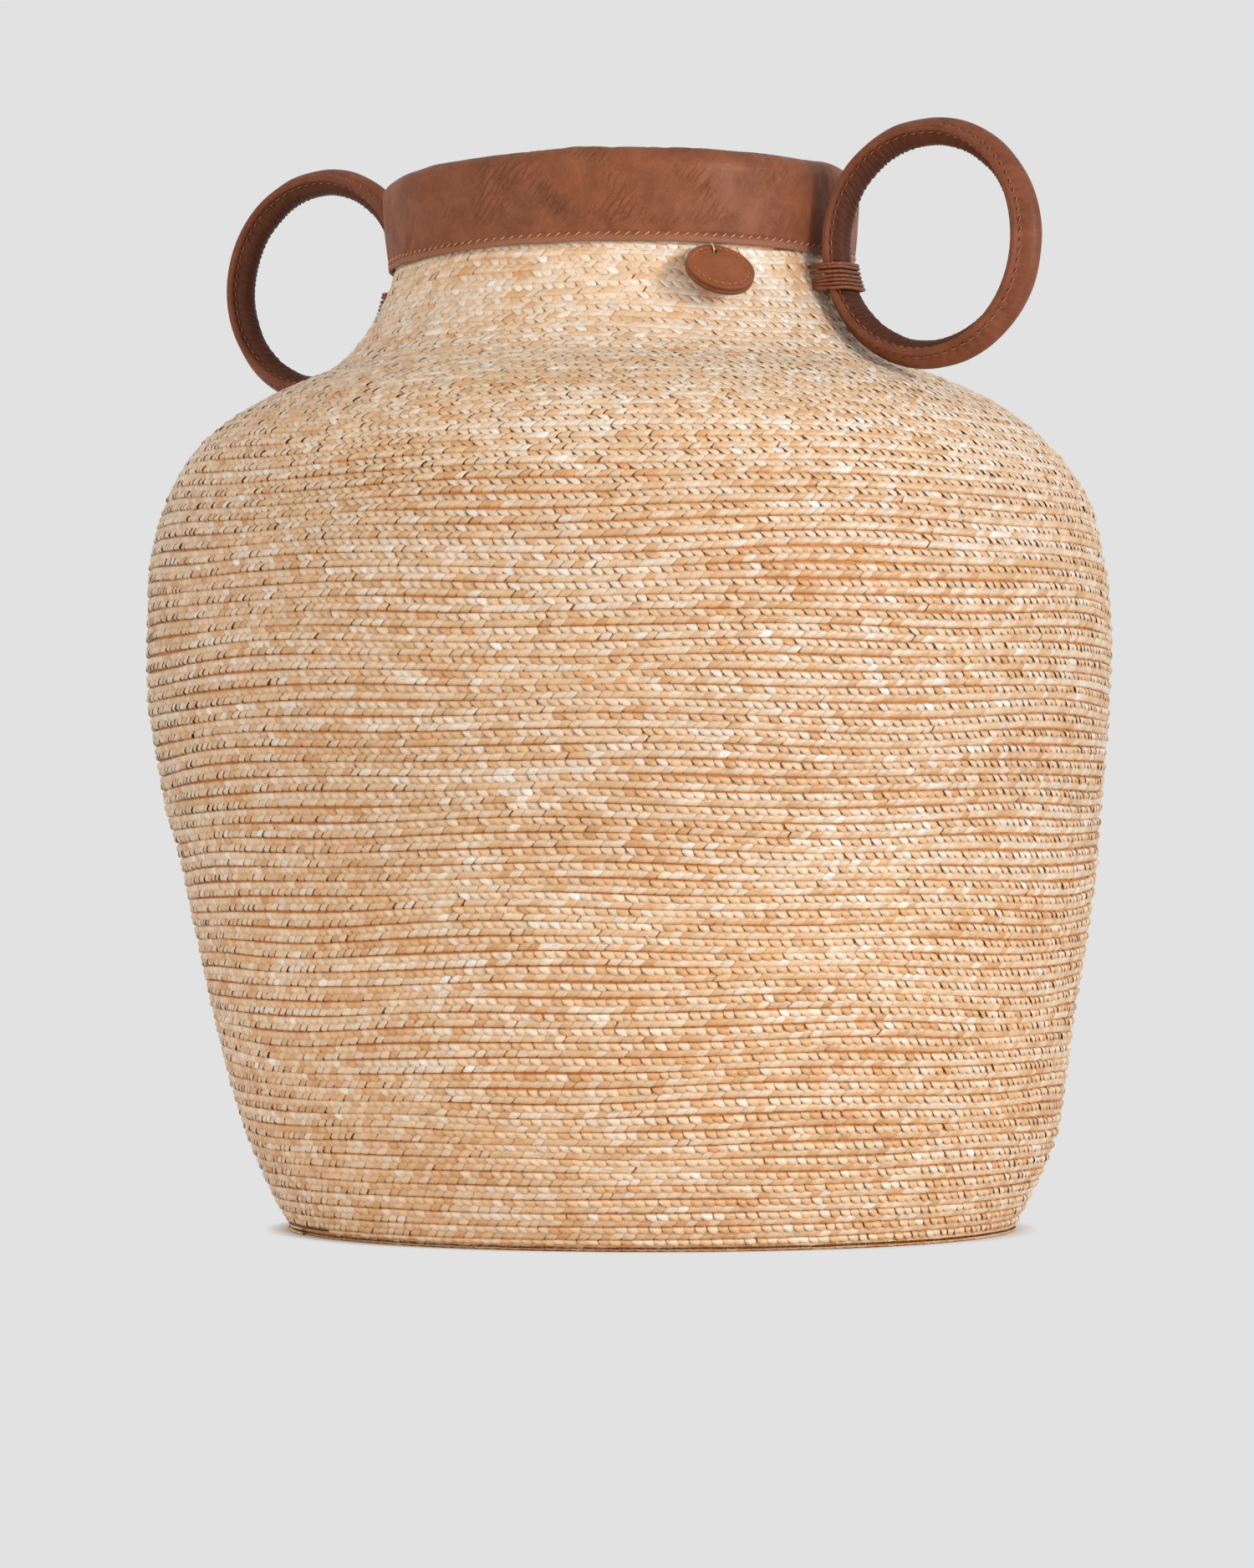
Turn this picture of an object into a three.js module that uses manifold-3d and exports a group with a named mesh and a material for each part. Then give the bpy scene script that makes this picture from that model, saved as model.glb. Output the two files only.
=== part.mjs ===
// Decorative basket: a bellied body of sewn straw plait with a narrow neck, a padded leather
// collar round the mouth, two leather-covered ring handles lashed to the neck, and a leather tag.
// Millimetres and degrees, +Z up. The origin is the middle of the underside. The two rings stand
// along X, with the sewn flange of their covers on the front, which is -Y.

import * as THREE from "three";
import * as BufferGeometryUtils from "three/addons/utils/BufferGeometryUtils.js";
import Module from "manifold-3d";

const wasm = await Module();
wasm.setup();

// Straw body: outside of the wall
const PLAIT_THICKNESS = 3.2;
const BASE_THICKNESS = 3.0;
const BASE_RADIUS = 147.4;
const FOOT_OVERHANG = 1;
const FOOT_FLARE = 60;
const FOOT_FULLNESS = 50;
const BELLY_RADIUS = 196;
const BELLY_HEIGHT = 254;
const BELLY_FULLNESS_BELOW = 92;
const BELLY_FULLNESS_ABOVE = 62;
const SHOULDER_RADIUS = 124.6;
const SHOULDER_HEIGHT = 345.9;
const SHOULDER_SLOPE = 20.6;
const SHOULDER_FULLNESS = 29.4;
const NECK_RADIUS = 93;
const NECK_RISE = 41.1;
const NECK_SLOPE = 74.5;
const NECK_FULLNESS_BELOW = 15.3;
const NECK_FULLNESS_ABOVE = 17.3;
const NECK_INSERT = 17;
const NECK_INSERT_TAPER = 1.4;

// The hand-sewn body leans a little, and its collar is sewn on a little lower on that side
const LEAN_ANGLE = 1.9;
const LEAN_HEADING = 214;
const LEAN_STOPS_BELOW_NECK = 21;
const COLLAR_TILT = 1.6;

// Collar: leather folded over the mouth round a ring of padding
const COLLAR_HEM_ABOVE_NECK = 4;
const COLLAR_HEIGHT = 37;
const COLLAR_HEM_STRIP = 3.6;
const COLLAR_BULGE = 1.9;
const COLLAR_ROLL_RADIUS = 8.2;
const COLLAR_LEATHER = 1.4;
const COLLAR_PAD_HEIGHT = 17;

// Ring handles: a stiff core in a leather cover whose two edges are sewn into a flange
const RING_OUTER_RADIUS = 49.5;
const RING_TUBE_RADIUS = 5.5;
const RING_LEATHER = 1.4;
const RING_FLANGE_REACH = 8.8;
const RING_FLANGE_ROOT = 6.3;
const RING_FLANGE_GAP = 0.3;
const RING_FLANGE_SPREAD = 40;
const RING_CORE_CLEARANCE = 0.5;
const RIGHT_RING_NECK_GAP = 5;
const LEFT_RING_NECK_GAP = 10;
const RING_ABOVE_NECK = 4.6;
const RING_LEAN_BACK = 2;

// Lashings: one waxed cord each, wound round the ring and through the wall
const CORD_DIAMETER = 1.4;
const LASHING_TURNS = 7;
const LASHING_PITCH = 2;
const LASHING_BELOW_NECK = 7;
const LASHING_CORNER = 2.2;
const LASHING_WALL_STANDOFF = 1.9;
const SLOT_CLEARANCE = 0.6;
const SLOT_WALLS_DEEP = 3;

// Tag: two leather rounds sewn together, held under the collar by one stitch of thread
const TAG_DIAMETER = 27.5;
const TAG_THICKNESS = 3.8;
const TAG_HEADING = -34.4;
const TAG_SPREAD = 42.5;
const TAG_TOP_CLEARANCE = 0.6;
const TAG_DROP_BELOW_HEM = 3.3;
const TAG_HOLE_DIAMETER = 2.2;
const TAG_HOLE_INSET = 4.2;
const TAG_THREAD_DROP = 0.5;
const THREAD_DIAMETER = 0.8;

// Clearance between pieces that touch
const SEAT_GAP = 0.3;

// Facets round the body, the collar, the rings, the cords and the tag
const BODY_FACETS = 52;
const COLLAR_FACETS = 44;
const RING_FACETS = 32;
const RING_SECTION_FACETS = 8;
const CORD_SIDES = 6;
const TAG_FACETS = 20;

// Steps along each stretch of the wall's outline, and along each arc of the collar and the mat's edge
const BELOW_BELLY_STEPS = 7;
const ABOVE_BELLY_STEPS = 8;
const NECK_STEPS = 6;
const COLLAR_STEPS = 3;
const MAT_EDGE_STEPS = 2;

// Points closer than this are one point
const SAME_POINT = 1e-4;

const radians = THREE.MathUtils.degToRad;
const { cos, sin, sqrt, PI } = Math;

const neckHeight = SHOULDER_HEIGHT + NECK_RISE;
const hemHeight = neckHeight + COLLAR_HEM_ABOVE_NECK;
const hemRadius = NECK_RADIUS + SEAT_GAP + COLLAR_LEATHER;
const bulgeRadius = hemRadius + COLLAR_BULGE;
const rollMiddle = bulgeRadius - COLLAR_ROLL_RADIUS;
const rollHeight = hemHeight + COLLAR_HEIGHT - COLLAR_ROLL_RADIUS;
const ringMiddleRadius = RING_OUTER_RADIUS - RING_TUBE_RADIUS;
const ringHoleRadius = ringMiddleRadius - RING_TUBE_RADIUS;
const rightRingSpread = NECK_RADIUS + RIGHT_RING_NECK_GAP + RING_OUTER_RADIUS;
const leftRingSpread = NECK_RADIUS + LEFT_RING_NECK_GAP + RING_OUTER_RADIUS;
const ringHeight = neckHeight + RING_ABOVE_NECK;
const lashingMiddle = neckHeight - LASHING_BELOW_NECK;

const straw = { color: 0xd8b27c, roughness: 0.6, metalness: 0 };
const leather = { color: 0x8b4a2e, roughness: 0.5, metalness: 0 };
const waxedCord = { color: 0x7a3d1f, roughness: 0.4, metalness: 0 };
const padding = { color: 0xe6dfd0, roughness: 0.95, metalness: 0 };
const coreCane = { color: 0xb08d5a, roughness: 0.8, metalness: 0 };
const paleThread = { color: 0xd9b58a, roughness: 0.7, metalness: 0 };

function pieceOf(name, geometry, finish) {
  const piece = new THREE.Mesh(geometry, new THREE.MeshStandardMaterial(finish));
  piece.name = name;
  return piece;
}

// Solids for cutting: only positions are kept, with shared corners merged
function solidOf(geometry) {
  const bare = geometry.clone();
  bare.deleteAttribute("normal");
  bare.deleteAttribute("uv");
  const merged = BufferGeometryUtils.mergeVertices(bare, SAME_POINT);
  return new wasm.Manifold(new wasm.Mesh({
    numProp: 3,
    vertProperties: new Float32Array(merged.attributes.position.array),
    triVerts: new Uint32Array(merged.index.array),
  }));
}

function geometryOf(solid) {
  const mesh = solid.getMesh();
  const geometry = new THREE.BufferGeometry();
  geometry.setAttribute("position", new THREE.BufferAttribute(mesh.vertProperties, 3));
  geometry.setIndex(new THREE.BufferAttribute(mesh.triVerts, 1));
  geometry.computeVertexNormals();
  return geometry;
}

// A closed profile of (radius, height) points turned about +Z
function turned(profile, facets) {
  const closed = [...profile, profile[0].clone()];
  return new THREE.LatheGeometry(closed, facets).rotateX(PI / 2);
}

// The same line moved sideways by a distance, to the left of its direction of travel
function offsetLine(points, distance) {
  return points.map((point, i) => {
    const before = points[Math.max(i - 1, 0)];
    const after = points[Math.min(i + 1, points.length - 1)];
    const arriving = point.clone().sub(before).normalize();
    const leaving = after.clone().sub(point).normalize();
    const first = i === 0 ? leaving : arriving;
    const last = i === points.length - 1 ? arriving : leaving;
    const bisector = first.clone().add(last).normalize();
    const stretch = distance / bisector.dot(first);
    return new THREE.Vector2(point.x - bisector.y * stretch, point.y + bisector.x * stretch);
  });
}

// A sheet of even thickness seen edge on: the line and its offset, joined at both ends
function sheetProfile(points, thickness) {
  return [...points, ...offsetLine(points, thickness).reverse()];
}

// Where the leaning body's centre line stands at a height
function leanAt(height) {
  const drift = Math.tan(radians(LEAN_ANGLE)) * Math.min(height, neckHeight - LEAN_STOPS_BELOW_NECK);
  return new THREE.Vector2(cos(radians(LEAN_HEADING)), sin(radians(LEAN_HEADING))).multiplyScalar(drift);
}

function leaned(geometry) {
  const position = geometry.attributes.position;
  for (let i = 0; i < position.count; i += 1) {
    const drift = leanAt(position.getZ(i));
    position.setX(i, position.getX(i) + drift.x);
    position.setY(i, position.getY(i) + drift.y);
  }
  return geometry;
}

// A closed round cord through points, with flat ends; its frame turns about the given up axis
function cordThrough(points, radius, sides, up) {
  const vertices = [];
  const faces = [];
  points.forEach((point, i) => {
    const before = points[Math.max(i - 1, 0)];
    const after = points[Math.min(i + 1, points.length - 1)];
    const along = after.clone().sub(before).normalize();
    const across = up.clone().cross(along).normalize();
    const over = along.clone().cross(across);
    for (let k = 0; k < sides; k += 1) {
      const turn = (2 * PI * k) / sides;
      const rim = point.clone().addScaledVector(across, radius * cos(turn));
      rim.addScaledVector(over, radius * sin(turn));
      vertices.push(rim.x, rim.y, rim.z);
    }
  });
  const last = points.length - 1;
  for (let i = 0; i < last; i += 1) {
    for (let k = 0; k < sides; k += 1) {
      const next = (k + 1) % sides;
      const a = i * sides + k;
      const b = i * sides + next;
      faces.push(a, b, b + sides, a, b + sides, a + sides);
    }
  }
  for (let k = 1; k < sides - 1; k += 1) {
    faces.push(0, k + 1, k);
    faces.push(last * sides, last * sides + k, last * sides + k + 1);
  }
  const geometry = new THREE.BufferGeometry();
  geometry.setAttribute("position", new THREE.Float32BufferAttribute(vertices, 3));
  geometry.setIndex(faces);
  geometry.computeVertexNormals();
  return geometry;
}

// Straw body

// A stretch of outline between two (radius, height) points, each with its slope and fullness
function stretch(from, fromSlope, fromFullness, to, toSlope, toFullness) {
  const leave = new THREE.Vector2(cos(radians(fromSlope)), sin(radians(fromSlope)));
  const arrive = new THREE.Vector2(cos(radians(toSlope)), sin(radians(toSlope)));
  return new THREE.CubicBezierCurve(
    from, from.clone().addScaledVector(leave, fromFullness),
    to.clone().addScaledVector(arrive, -toFullness), to,
  );
}

// Slopes are measured from level outwards, so a wall that closes in has a slope past the vertical
const VERTICAL = 90;
const inward = (slope) => 2 * VERTICAL - slope;

const wallBottom = BASE_THICKNESS + SEAT_GAP;
const foot = new THREE.Vector2(BASE_RADIUS + FOOT_OVERHANG, wallBottom);
const belly = new THREE.Vector2(BELLY_RADIUS, BELLY_HEIGHT);
const shoulder = new THREE.Vector2(SHOULDER_RADIUS, SHOULDER_HEIGHT);
const neck = new THREE.Vector2(NECK_RADIUS, neckHeight);
const neckTop = new THREE.Vector2(NECK_RADIUS - NECK_INSERT_TAPER, neckHeight + NECK_INSERT);

const wallOutline = [
  ...stretch(foot, FOOT_FLARE, FOOT_FULLNESS, belly, VERTICAL, BELLY_FULLNESS_BELOW)
    .getPoints(BELOW_BELLY_STEPS),
  ...stretch(belly, VERTICAL, BELLY_FULLNESS_ABOVE, shoulder, inward(SHOULDER_SLOPE), SHOULDER_FULLNESS)
    .getPoints(ABOVE_BELLY_STEPS).slice(1),
  ...stretch(shoulder, inward(SHOULDER_SLOPE), NECK_FULLNESS_BELOW,
    neck, inward(NECK_SLOPE), NECK_FULLNESS_ABOVE).getPoints(NECK_STEPS).slice(1),
  neckTop,
];
const wallLining = offsetLine(wallOutline, PLAIT_THICKNESS);
wallLining[0].y = wallBottom;
wallLining[wallLining.length - 1].y = neckTop.y;

// The radius of a line of (radius, height) points at a height
function radiusAt(line, height) {
  const i = line.findIndex((point, k) => k > 0 && point.y >= height);
  const low = line[i - 1];
  const high = line[i];
  return low.x + ((high.x - low.x) * (height - low.y)) / (high.y - low.y);
}

// The wall's inside at the middle of its facets, where it is nearest to the axis
const wallInsideAt = (height) => radiusAt(wallLining, height) * cos(PI / BODY_FACETS);

// Lashings

const cordRadius = CORD_DIAMETER / 2;
const lashingBottom = lashingMiddle - (LASHING_TURNS * LASHING_PITCH) / 2;
const lashingTop = lashingBottom + LASHING_TURNS * LASHING_PITCH;
const ringDriftAt = (height) => (height - ringHeight) * sin(radians(RING_LEAN_BACK));

// The four sides of one turn at a height, beside the wall and round a ring that is so far out
function turnSides(height, ringSpread) {
  const drop = height - ringHeight;
  const ringInside = ringSpread - sqrt(ringHoleRadius ** 2 - drop ** 2);
  return {
    near: wallInsideAt(height) - LASHING_WALL_STANDOFF,
    far: ringInside + SEAT_GAP + cordRadius,
    front: ringDriftAt(height) - RING_FLANGE_REACH - SEAT_GAP - cordRadius,
    back: ringDriftAt(height) + RING_TUBE_RADIUS + SEAT_GAP + cordRadius,
  };
}

// The points of one turn in plan: a rounded rectangle from the middle of its wall side
function turnPlan({ near, far, front, back }) {
  const points = [new THREE.Vector2(near, 0)];
  const corners = [[near, back, 180], [far, back, 90], [far, front, 0], [near, front, -90]];
  corners.forEach(([x, y, heading], i) => {
    const middleX = x === near ? x + LASHING_CORNER : x - LASHING_CORNER;
    const middleY = y === front ? y + LASHING_CORNER : y - LASHING_CORNER;
    for (const turn of [0, 45, 90]) {
      const angle = radians(heading - turn);
      points.push(new THREE.Vector2(
        middleX + LASHING_CORNER * cos(angle), middleY + LASHING_CORNER * sin(angle),
      ));
    }
    const next = corners[(i + 1) % corners.length];
    const straights = i === corners.length - 1 ? [] : [1 / 3, 2 / 3];
    const leave = points[points.length - 1];
    for (const share of straights) {
      const along = leave.clone();
      if (next[0] === x) along.y += (next[1] - y - 2 * Math.sign(next[1] - y) * LASHING_CORNER) * share;
      else along.x += (next[0] - x - 2 * Math.sign(next[0] - x) * LASHING_CORNER) * share;
      points.push(along);
    }
  });
  return points;
}

// The whole cord: an end square to the wall, the turns, and the other end square to the wall
function lashingRoute(ringSpread) {
  const points = [];
  const perTurn = turnPlan(turnSides(lashingMiddle, ringSpread)).length;
  for (let i = 0; i <= LASHING_TURNS * perTurn; i += 1) {
    const height = lashingBottom + (LASHING_PITCH * i) / perTurn;
    const plan = turnPlan(turnSides(height, ringSpread))[i % perTurn];
    points.push(new THREE.Vector3(plan.x, plan.y, height));
  }
  const endBeside = (point, height) => {
    const nearest = wallInsideAt(height + cordRadius);
    return new THREE.Vector3(nearest - SEAT_GAP, point.y, height);
  };
  const start = points[0];
  const end = points[points.length - 1];
  points.unshift(endBeside(start, start.z - CORD_DIAMETER / 2));
  points.push(endBeside(end, end.z + CORD_DIAMETER / 2));
  return points;
}

// The least distance between stretches of the cord that are at least half a turn apart
function leastGap(points, diameter, apart) {
  let least = Infinity;
  for (let i = 0; i < points.length; i += 1) {
    for (let k = i + apart; k < points.length; k += 1) {
      least = Math.min(least, points[i].distanceTo(points[k]) - diameter);
    }
  }
  return least;
}

function lashing(name, side, ringSpread) {
  const points = lashingRoute(ringSpread);
  const halfTurn = Math.round(turnPlan(turnSides(lashingMiddle, ringSpread)).length / 2);
  console.log(`${name}: least gap to itself ${leastGap(points, CORD_DIAMETER, halfTurn).toFixed(2)} mm`);
  const route = points.map((point) => new THREE.Vector3(point.x * side, point.y, point.z));
  const up = new THREE.Vector3(0, 0, 1);
  return pieceOf(name, cordThrough(route, cordRadius, CORD_SIDES, up), waxedCord);
}

// Wall and base

const neckCentre = leanAt(neckHeight);

// One slot beside each face of each ring lets the cord through the wall
function lashingSlots() {
  const { front, back } = turnSides(lashingMiddle, rightRingSpread);
  const drift = ringDriftAt(lashingTop) - ringDriftAt(lashingBottom);
  const width = CORD_DIAMETER + 2 * SLOT_CLEARANCE + Math.abs(drift);
  const height = lashingTop - lashingBottom + CORD_DIAMETER + 2 * SLOT_CLEARANCE;
  const depth = SLOT_WALLS_DEEP * PLAIT_THICKNESS + LASHING_WALL_STANDOFF;
  const reach = radiusAt(wallOutline, lashingMiddle) - PLAIT_THICKNESS / 2;
  const slots = [];
  for (const side of [-1, 1]) {
    for (const y of [front, back]) {
      const slot = new THREE.BoxGeometry(depth, width, height);
      const x = side * sqrt(reach ** 2 - y ** 2);
      slots.push(slot.translate(neckCentre.x + x, neckCentre.y + y, lashingMiddle));
    }
  }
  return slots;
}

function plaitWall() {
  const outside = [...wallOutline];
  const inside = [...wallLining].reverse();
  let wall = solidOf(leaned(turned([...outside, ...inside], BODY_FACETS)));
  for (const slot of lashingSlots()) wall = wall.subtract(solidOf(slot));
  return pieceOf("plait_wall", geometryOf(wall), straw);
}

// A sewn mat with a rounded edge, flat underneath where the basket rests
function plaitBase() {
  const edge = BASE_THICKNESS / 2;
  const rim = new THREE.Path();
  rim.moveTo(0, 0);
  rim.lineTo(BASE_RADIUS - edge, 0);
  rim.absarc(BASE_RADIUS - edge, edge, edge, -PI / 2, PI / 2, false);
  rim.lineTo(0, BASE_THICKNESS);
  const profile = rim.getPoints(MAT_EDGE_STEPS);
  return pieceOf("plait_base", new THREE.LatheGeometry(profile, BODY_FACETS).rotateX(PI / 2), straw);
}

// Collar

// The outside of the fold, from the outer hem over the roll to the inner hem
function collarOutline() {
  const stitchHeight = hemHeight + COLLAR_HEM_STRIP;
  const innerHemRadius = neckTop.x - PLAIT_THICKNESS - SEAT_GAP - COLLAR_LEATHER;
  const bulgeHeight = (stitchHeight + rollHeight) / 2;
  const outline = new THREE.Path();
  outline.moveTo(hemRadius, hemHeight);
  outline.lineTo(hemRadius, stitchHeight);
  outline.quadraticCurveTo(bulgeRadius, bulgeHeight, bulgeRadius, rollHeight);
  outline.absarc(rollMiddle, rollHeight, COLLAR_ROLL_RADIUS, 0, PI, false);
  outline.quadraticCurveTo(rollMiddle - COLLAR_ROLL_RADIUS, bulgeHeight, innerHemRadius, stitchHeight);
  outline.lineTo(innerHemRadius, hemHeight);
  return withoutRepeats(outline.getPoints(COLLAR_STEPS));
}

function collarLeather() {
  const profile = sheetProfile(collarOutline(), COLLAR_LEATHER);
  return pieceOf("collar_leather", turned(profile, COLLAR_FACETS), leather);
}

// The padding fills the top of the fold, above the straw's last course
function collarPad() {
  const room = COLLAR_ROLL_RADIUS - COLLAR_LEATHER - SEAT_GAP;
  const bottom = rollHeight + room - COLLAR_PAD_HEIGHT;
  const outline = new THREE.Path();
  outline.moveTo(rollMiddle + room - SEAT_GAP, bottom);
  outline.lineTo(rollMiddle + room, rollHeight);
  outline.absarc(rollMiddle, rollHeight, room, 0, PI, false);
  outline.lineTo(rollMiddle - room + COLLAR_LEATHER, bottom);
  const profile = withoutRepeats(outline.getPoints(COLLAR_STEPS));
  return pieceOf("collar_pad", turned(profile, COLLAR_FACETS), padding);
}

function withoutRepeats(points) {
  return points.filter((point, i) => i === 0 || point.distanceTo(points[i - 1]) > SAME_POINT);
}

// Ring handles

// The cover's outside, from one edge of the flange round the tube to the other edge
function ringCoverOutline() {
  const halfFlange = RING_LEATHER + RING_FLANGE_GAP / 2;
  const points = [
    new THREE.Vector2(-halfFlange, RING_FLANGE_REACH),
    new THREE.Vector2(-halfFlange, RING_FLANGE_ROOT),
  ];
  const opening = radians(RING_FLANGE_SPREAD);
  for (let i = 0; i <= RING_SECTION_FACETS; i += 1) {
    const angle = PI / 2 + opening + (i / RING_SECTION_FACETS) * (2 * PI - 2 * opening);
    points.push(new THREE.Vector2(RING_TUBE_RADIUS * cos(angle), RING_TUBE_RADIUS * sin(angle)));
  }
  points.push(new THREE.Vector2(halfFlange, RING_FLANGE_ROOT));
  points.push(new THREE.Vector2(halfFlange, RING_FLANGE_REACH));
  return points;
}

function ringPieces(sideName, side, ringSpread) {
  const section = sheetProfile(ringCoverOutline(), RING_LEATHER);
  const shifted = section.map((point) => new THREE.Vector2(point.x + ringMiddleRadius, point.y));
  const cover = new THREE.LatheGeometry([...shifted, shifted[0].clone()], RING_FACETS);
  const coreRadius = RING_TUBE_RADIUS - RING_LEATHER - RING_CORE_CLEARANCE;
  const core = new THREE.TorusGeometry(ringMiddleRadius, coreRadius, RING_SECTION_FACETS, RING_FACETS);
  const ring = new THREE.Group();
  ring.position.set(side * ringSpread, 0, ringHeight);
  ring.rotation.x = -radians(RING_LEAN_BACK);
  ring.add(pieceOf(`${sideName}_ring_leather`, cover.rotateX(PI), leather));
  ring.add(pieceOf(`${sideName}_ring_core`, core.rotateX(PI / 2), coreCane));
  return ring;
}

// Tag, in a plane that holds the basket's axis: across is the distance from the axis

const tagRadius = TAG_DIAMETER / 2;
const tagDown = new THREE.Vector2(sin(radians(TAG_SPREAD)), -cos(radians(TAG_SPREAD)));
const tagFacing = new THREE.Vector2(cos(radians(TAG_SPREAD)), sin(radians(TAG_SPREAD)));
const tagBackTop = new THREE.Vector2(0, hemHeight - TAG_DROP_BELOW_HEM);
tagBackTop.x = radiusAt(wallOutline, tagBackTop.y) + TAG_TOP_CLEARANCE;

// A place on the tag: so far down from its top edge, and so far out from its back
function onTag(down, out) {
  return tagBackTop.clone().addScaledVector(tagDown, down).addScaledVector(tagFacing, out);
}

function tagRound(name, thickness, backAt) {
  const round = new THREE.Shape();
  round.absarc(0, 0, tagRadius, 0, 2 * PI, false);
  const hole = new THREE.Path();
  hole.absarc(0, tagRadius - TAG_HOLE_INSET, TAG_HOLE_DIAMETER / 2, 0, 2 * PI, true);
  round.holes.push(hole);
  const options = { depth: thickness, bevelEnabled: false, curveSegments: TAG_FACETS };
  const geometry = new THREE.ExtrudeGeometry(round, options).translate(0, 0, backAt);
  return pieceOf(name, geometry, leather);
}

function tag() {
  const leatherThickness = (TAG_THICKNESS - SEAT_GAP) / 2;
  const middle = onTag(tagRadius, 0);
  const along = new THREE.Vector3(0, 1, 0);
  const upward = new THREE.Vector3(-tagDown.x, 0, -tagDown.y);
  const facing = new THREE.Vector3(tagFacing.x, 0, tagFacing.y);
  const group = new THREE.Group();
  group.position.set(middle.x, 0, middle.y);
  group.quaternion.setFromRotationMatrix(new THREE.Matrix4().makeBasis(along, upward, facing));
  group.add(tagRound("tag_back", leatherThickness, 0));
  group.add(tagRound("tag_front", leatherThickness, leatherThickness + SEAT_GAP));
  return group;
}

// One stitch: out of the wall under the hem, over the tag's top edge, through its hole, into the wall
function tagLoop() {
  const threadRadius = THREAD_DIAMETER / 2;
  const clear = threadRadius + SEAT_GAP;
  const startHeight = hemHeight - SEAT_GAP - threadRadius - TAG_THREAD_DROP;
  const start = new THREE.Vector2(radiusAt(wallOutline, startHeight) + SEAT_GAP, startHeight);
  const hole = TAG_HOLE_INSET;
  const leave = onTag(hole, 0);
  const run = leave.x - radiusAt(wallOutline, leave.y) - SEAT_GAP;
  const end = leave.clone().addScaledVector(tagFacing, -run * tagFacing.x);
  const line = [
    start,
    start.clone().add(new THREE.Vector2(THREAD_DIAMETER, SEAT_GAP / 2)),
    onTag(-clear, TAG_THICKNESS),
    onTag(-clear / 2, TAG_THICKNESS + clear),
    onTag(hole - 3 * threadRadius, TAG_THICKNESS + clear),
    onTag(hole - threadRadius / 2, TAG_THICKNESS + clear / 2),
    onTag(hole, TAG_THICKNESS - threadRadius),
    leave,
    end,
  ];
  const route = line.map((point) => new THREE.Vector3(point.x, 0, point.y));
  const sideways = new THREE.Vector3(0, 1, 0);
  return pieceOf("tag_loop", cordThrough(route, threadRadius, CORD_SIDES, sideways), paleThread);
}

// The whole basket

const basket = new THREE.Group();
basket.add(plaitBase(), plaitWall());

const neckFrame = new THREE.Group();
neckFrame.position.set(neckCentre.x, neckCentre.y, 0);
basket.add(neckFrame);

// The collar turns about its hem, down on the side that the body leans to
const collar = new THREE.Group();
const tiltAxis = new THREE.Vector3(cos(radians(LEAN_HEADING + 90)), sin(radians(LEAN_HEADING + 90)), 0);
const hemMiddle = new THREE.Vector3(0, 0, hemHeight);
collar.quaternion.setFromAxisAngle(tiltAxis, radians(COLLAR_TILT));
collar.position.copy(hemMiddle).sub(hemMiddle.clone().applyQuaternion(collar.quaternion));
collar.add(collarLeather(), collarPad());
neckFrame.add(collar);

for (const [sideName, side, spread] of [["right", 1, rightRingSpread], ["left", -1, leftRingSpread]]) {
  neckFrame.add(ringPieces(sideName, side, spread));
  neckFrame.add(lashing(`${sideName}_lashing`, side, spread));
}

const tagFrame = new THREE.Group();
tagFrame.rotation.z = radians(TAG_HEADING);
tagFrame.add(tag(), tagLoop());
neckFrame.add(tagFrame);

export default basket;
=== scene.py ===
"""Looks of the decorative basket: a bellied body of sewn straw plait, a padded leather collar,
two leather ring handles lashed to the neck, and a round leather tag.

Lengths here are millimetres and angles are degrees. They become metres and radians where a mesh or
a light is made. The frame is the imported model's: +Z up, X along the two rings, front towards -Y.
"""

import math

import bpy
import numpy as np
from mathutils import Matrix, Vector


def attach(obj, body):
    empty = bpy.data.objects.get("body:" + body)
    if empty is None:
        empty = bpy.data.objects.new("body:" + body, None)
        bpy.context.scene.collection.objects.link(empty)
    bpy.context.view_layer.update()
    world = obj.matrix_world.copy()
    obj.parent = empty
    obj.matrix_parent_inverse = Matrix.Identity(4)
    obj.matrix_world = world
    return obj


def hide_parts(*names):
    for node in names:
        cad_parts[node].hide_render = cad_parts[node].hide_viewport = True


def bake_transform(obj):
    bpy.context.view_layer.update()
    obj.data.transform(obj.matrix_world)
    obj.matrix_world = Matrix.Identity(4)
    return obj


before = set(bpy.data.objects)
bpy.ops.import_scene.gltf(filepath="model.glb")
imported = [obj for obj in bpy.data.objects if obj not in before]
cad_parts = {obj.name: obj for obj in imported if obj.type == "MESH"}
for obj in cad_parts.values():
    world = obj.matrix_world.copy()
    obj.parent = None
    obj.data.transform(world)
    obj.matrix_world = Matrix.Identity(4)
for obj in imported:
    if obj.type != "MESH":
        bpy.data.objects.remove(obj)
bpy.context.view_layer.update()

MM = 0.001
TURN = 2 * np.pi
SEED = 20240611

# Straw body: its outline's driving sizes, as the construction has them
FOOT = (148.4, 3.3)
FOOT_FLARE, FOOT_FULLNESS = 60, 50
TUCK_WIDTH, TUCK_HEIGHT, TUCK_FULLNESS_BELOW, TUCK_FULLNESS_ABOVE = 4.6, 0.9, 2.4, 1.2
BELLY = (196.0, 254.0)
BELLY_FULLNESS_BELOW, BELLY_FULLNESS_ABOVE = 92, 62
SHOULDER = (124.6, 345.9)
SHOULDER_SLOPE, SHOULDER_FULLNESS = 20.6, 29.4
NECK = (93.0, 387.0)
NECK_SLOPE, NECK_FULLNESS_BELOW, NECK_FULLNESS_ABOVE = 74.5, 15.3, 17.3
NECK_TOP = (91.6, 404.0)
WALL_THICKNESS = 3.2
BASE_RADIUS, BASE_THICKNESS = 147.4, 3.0
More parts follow.
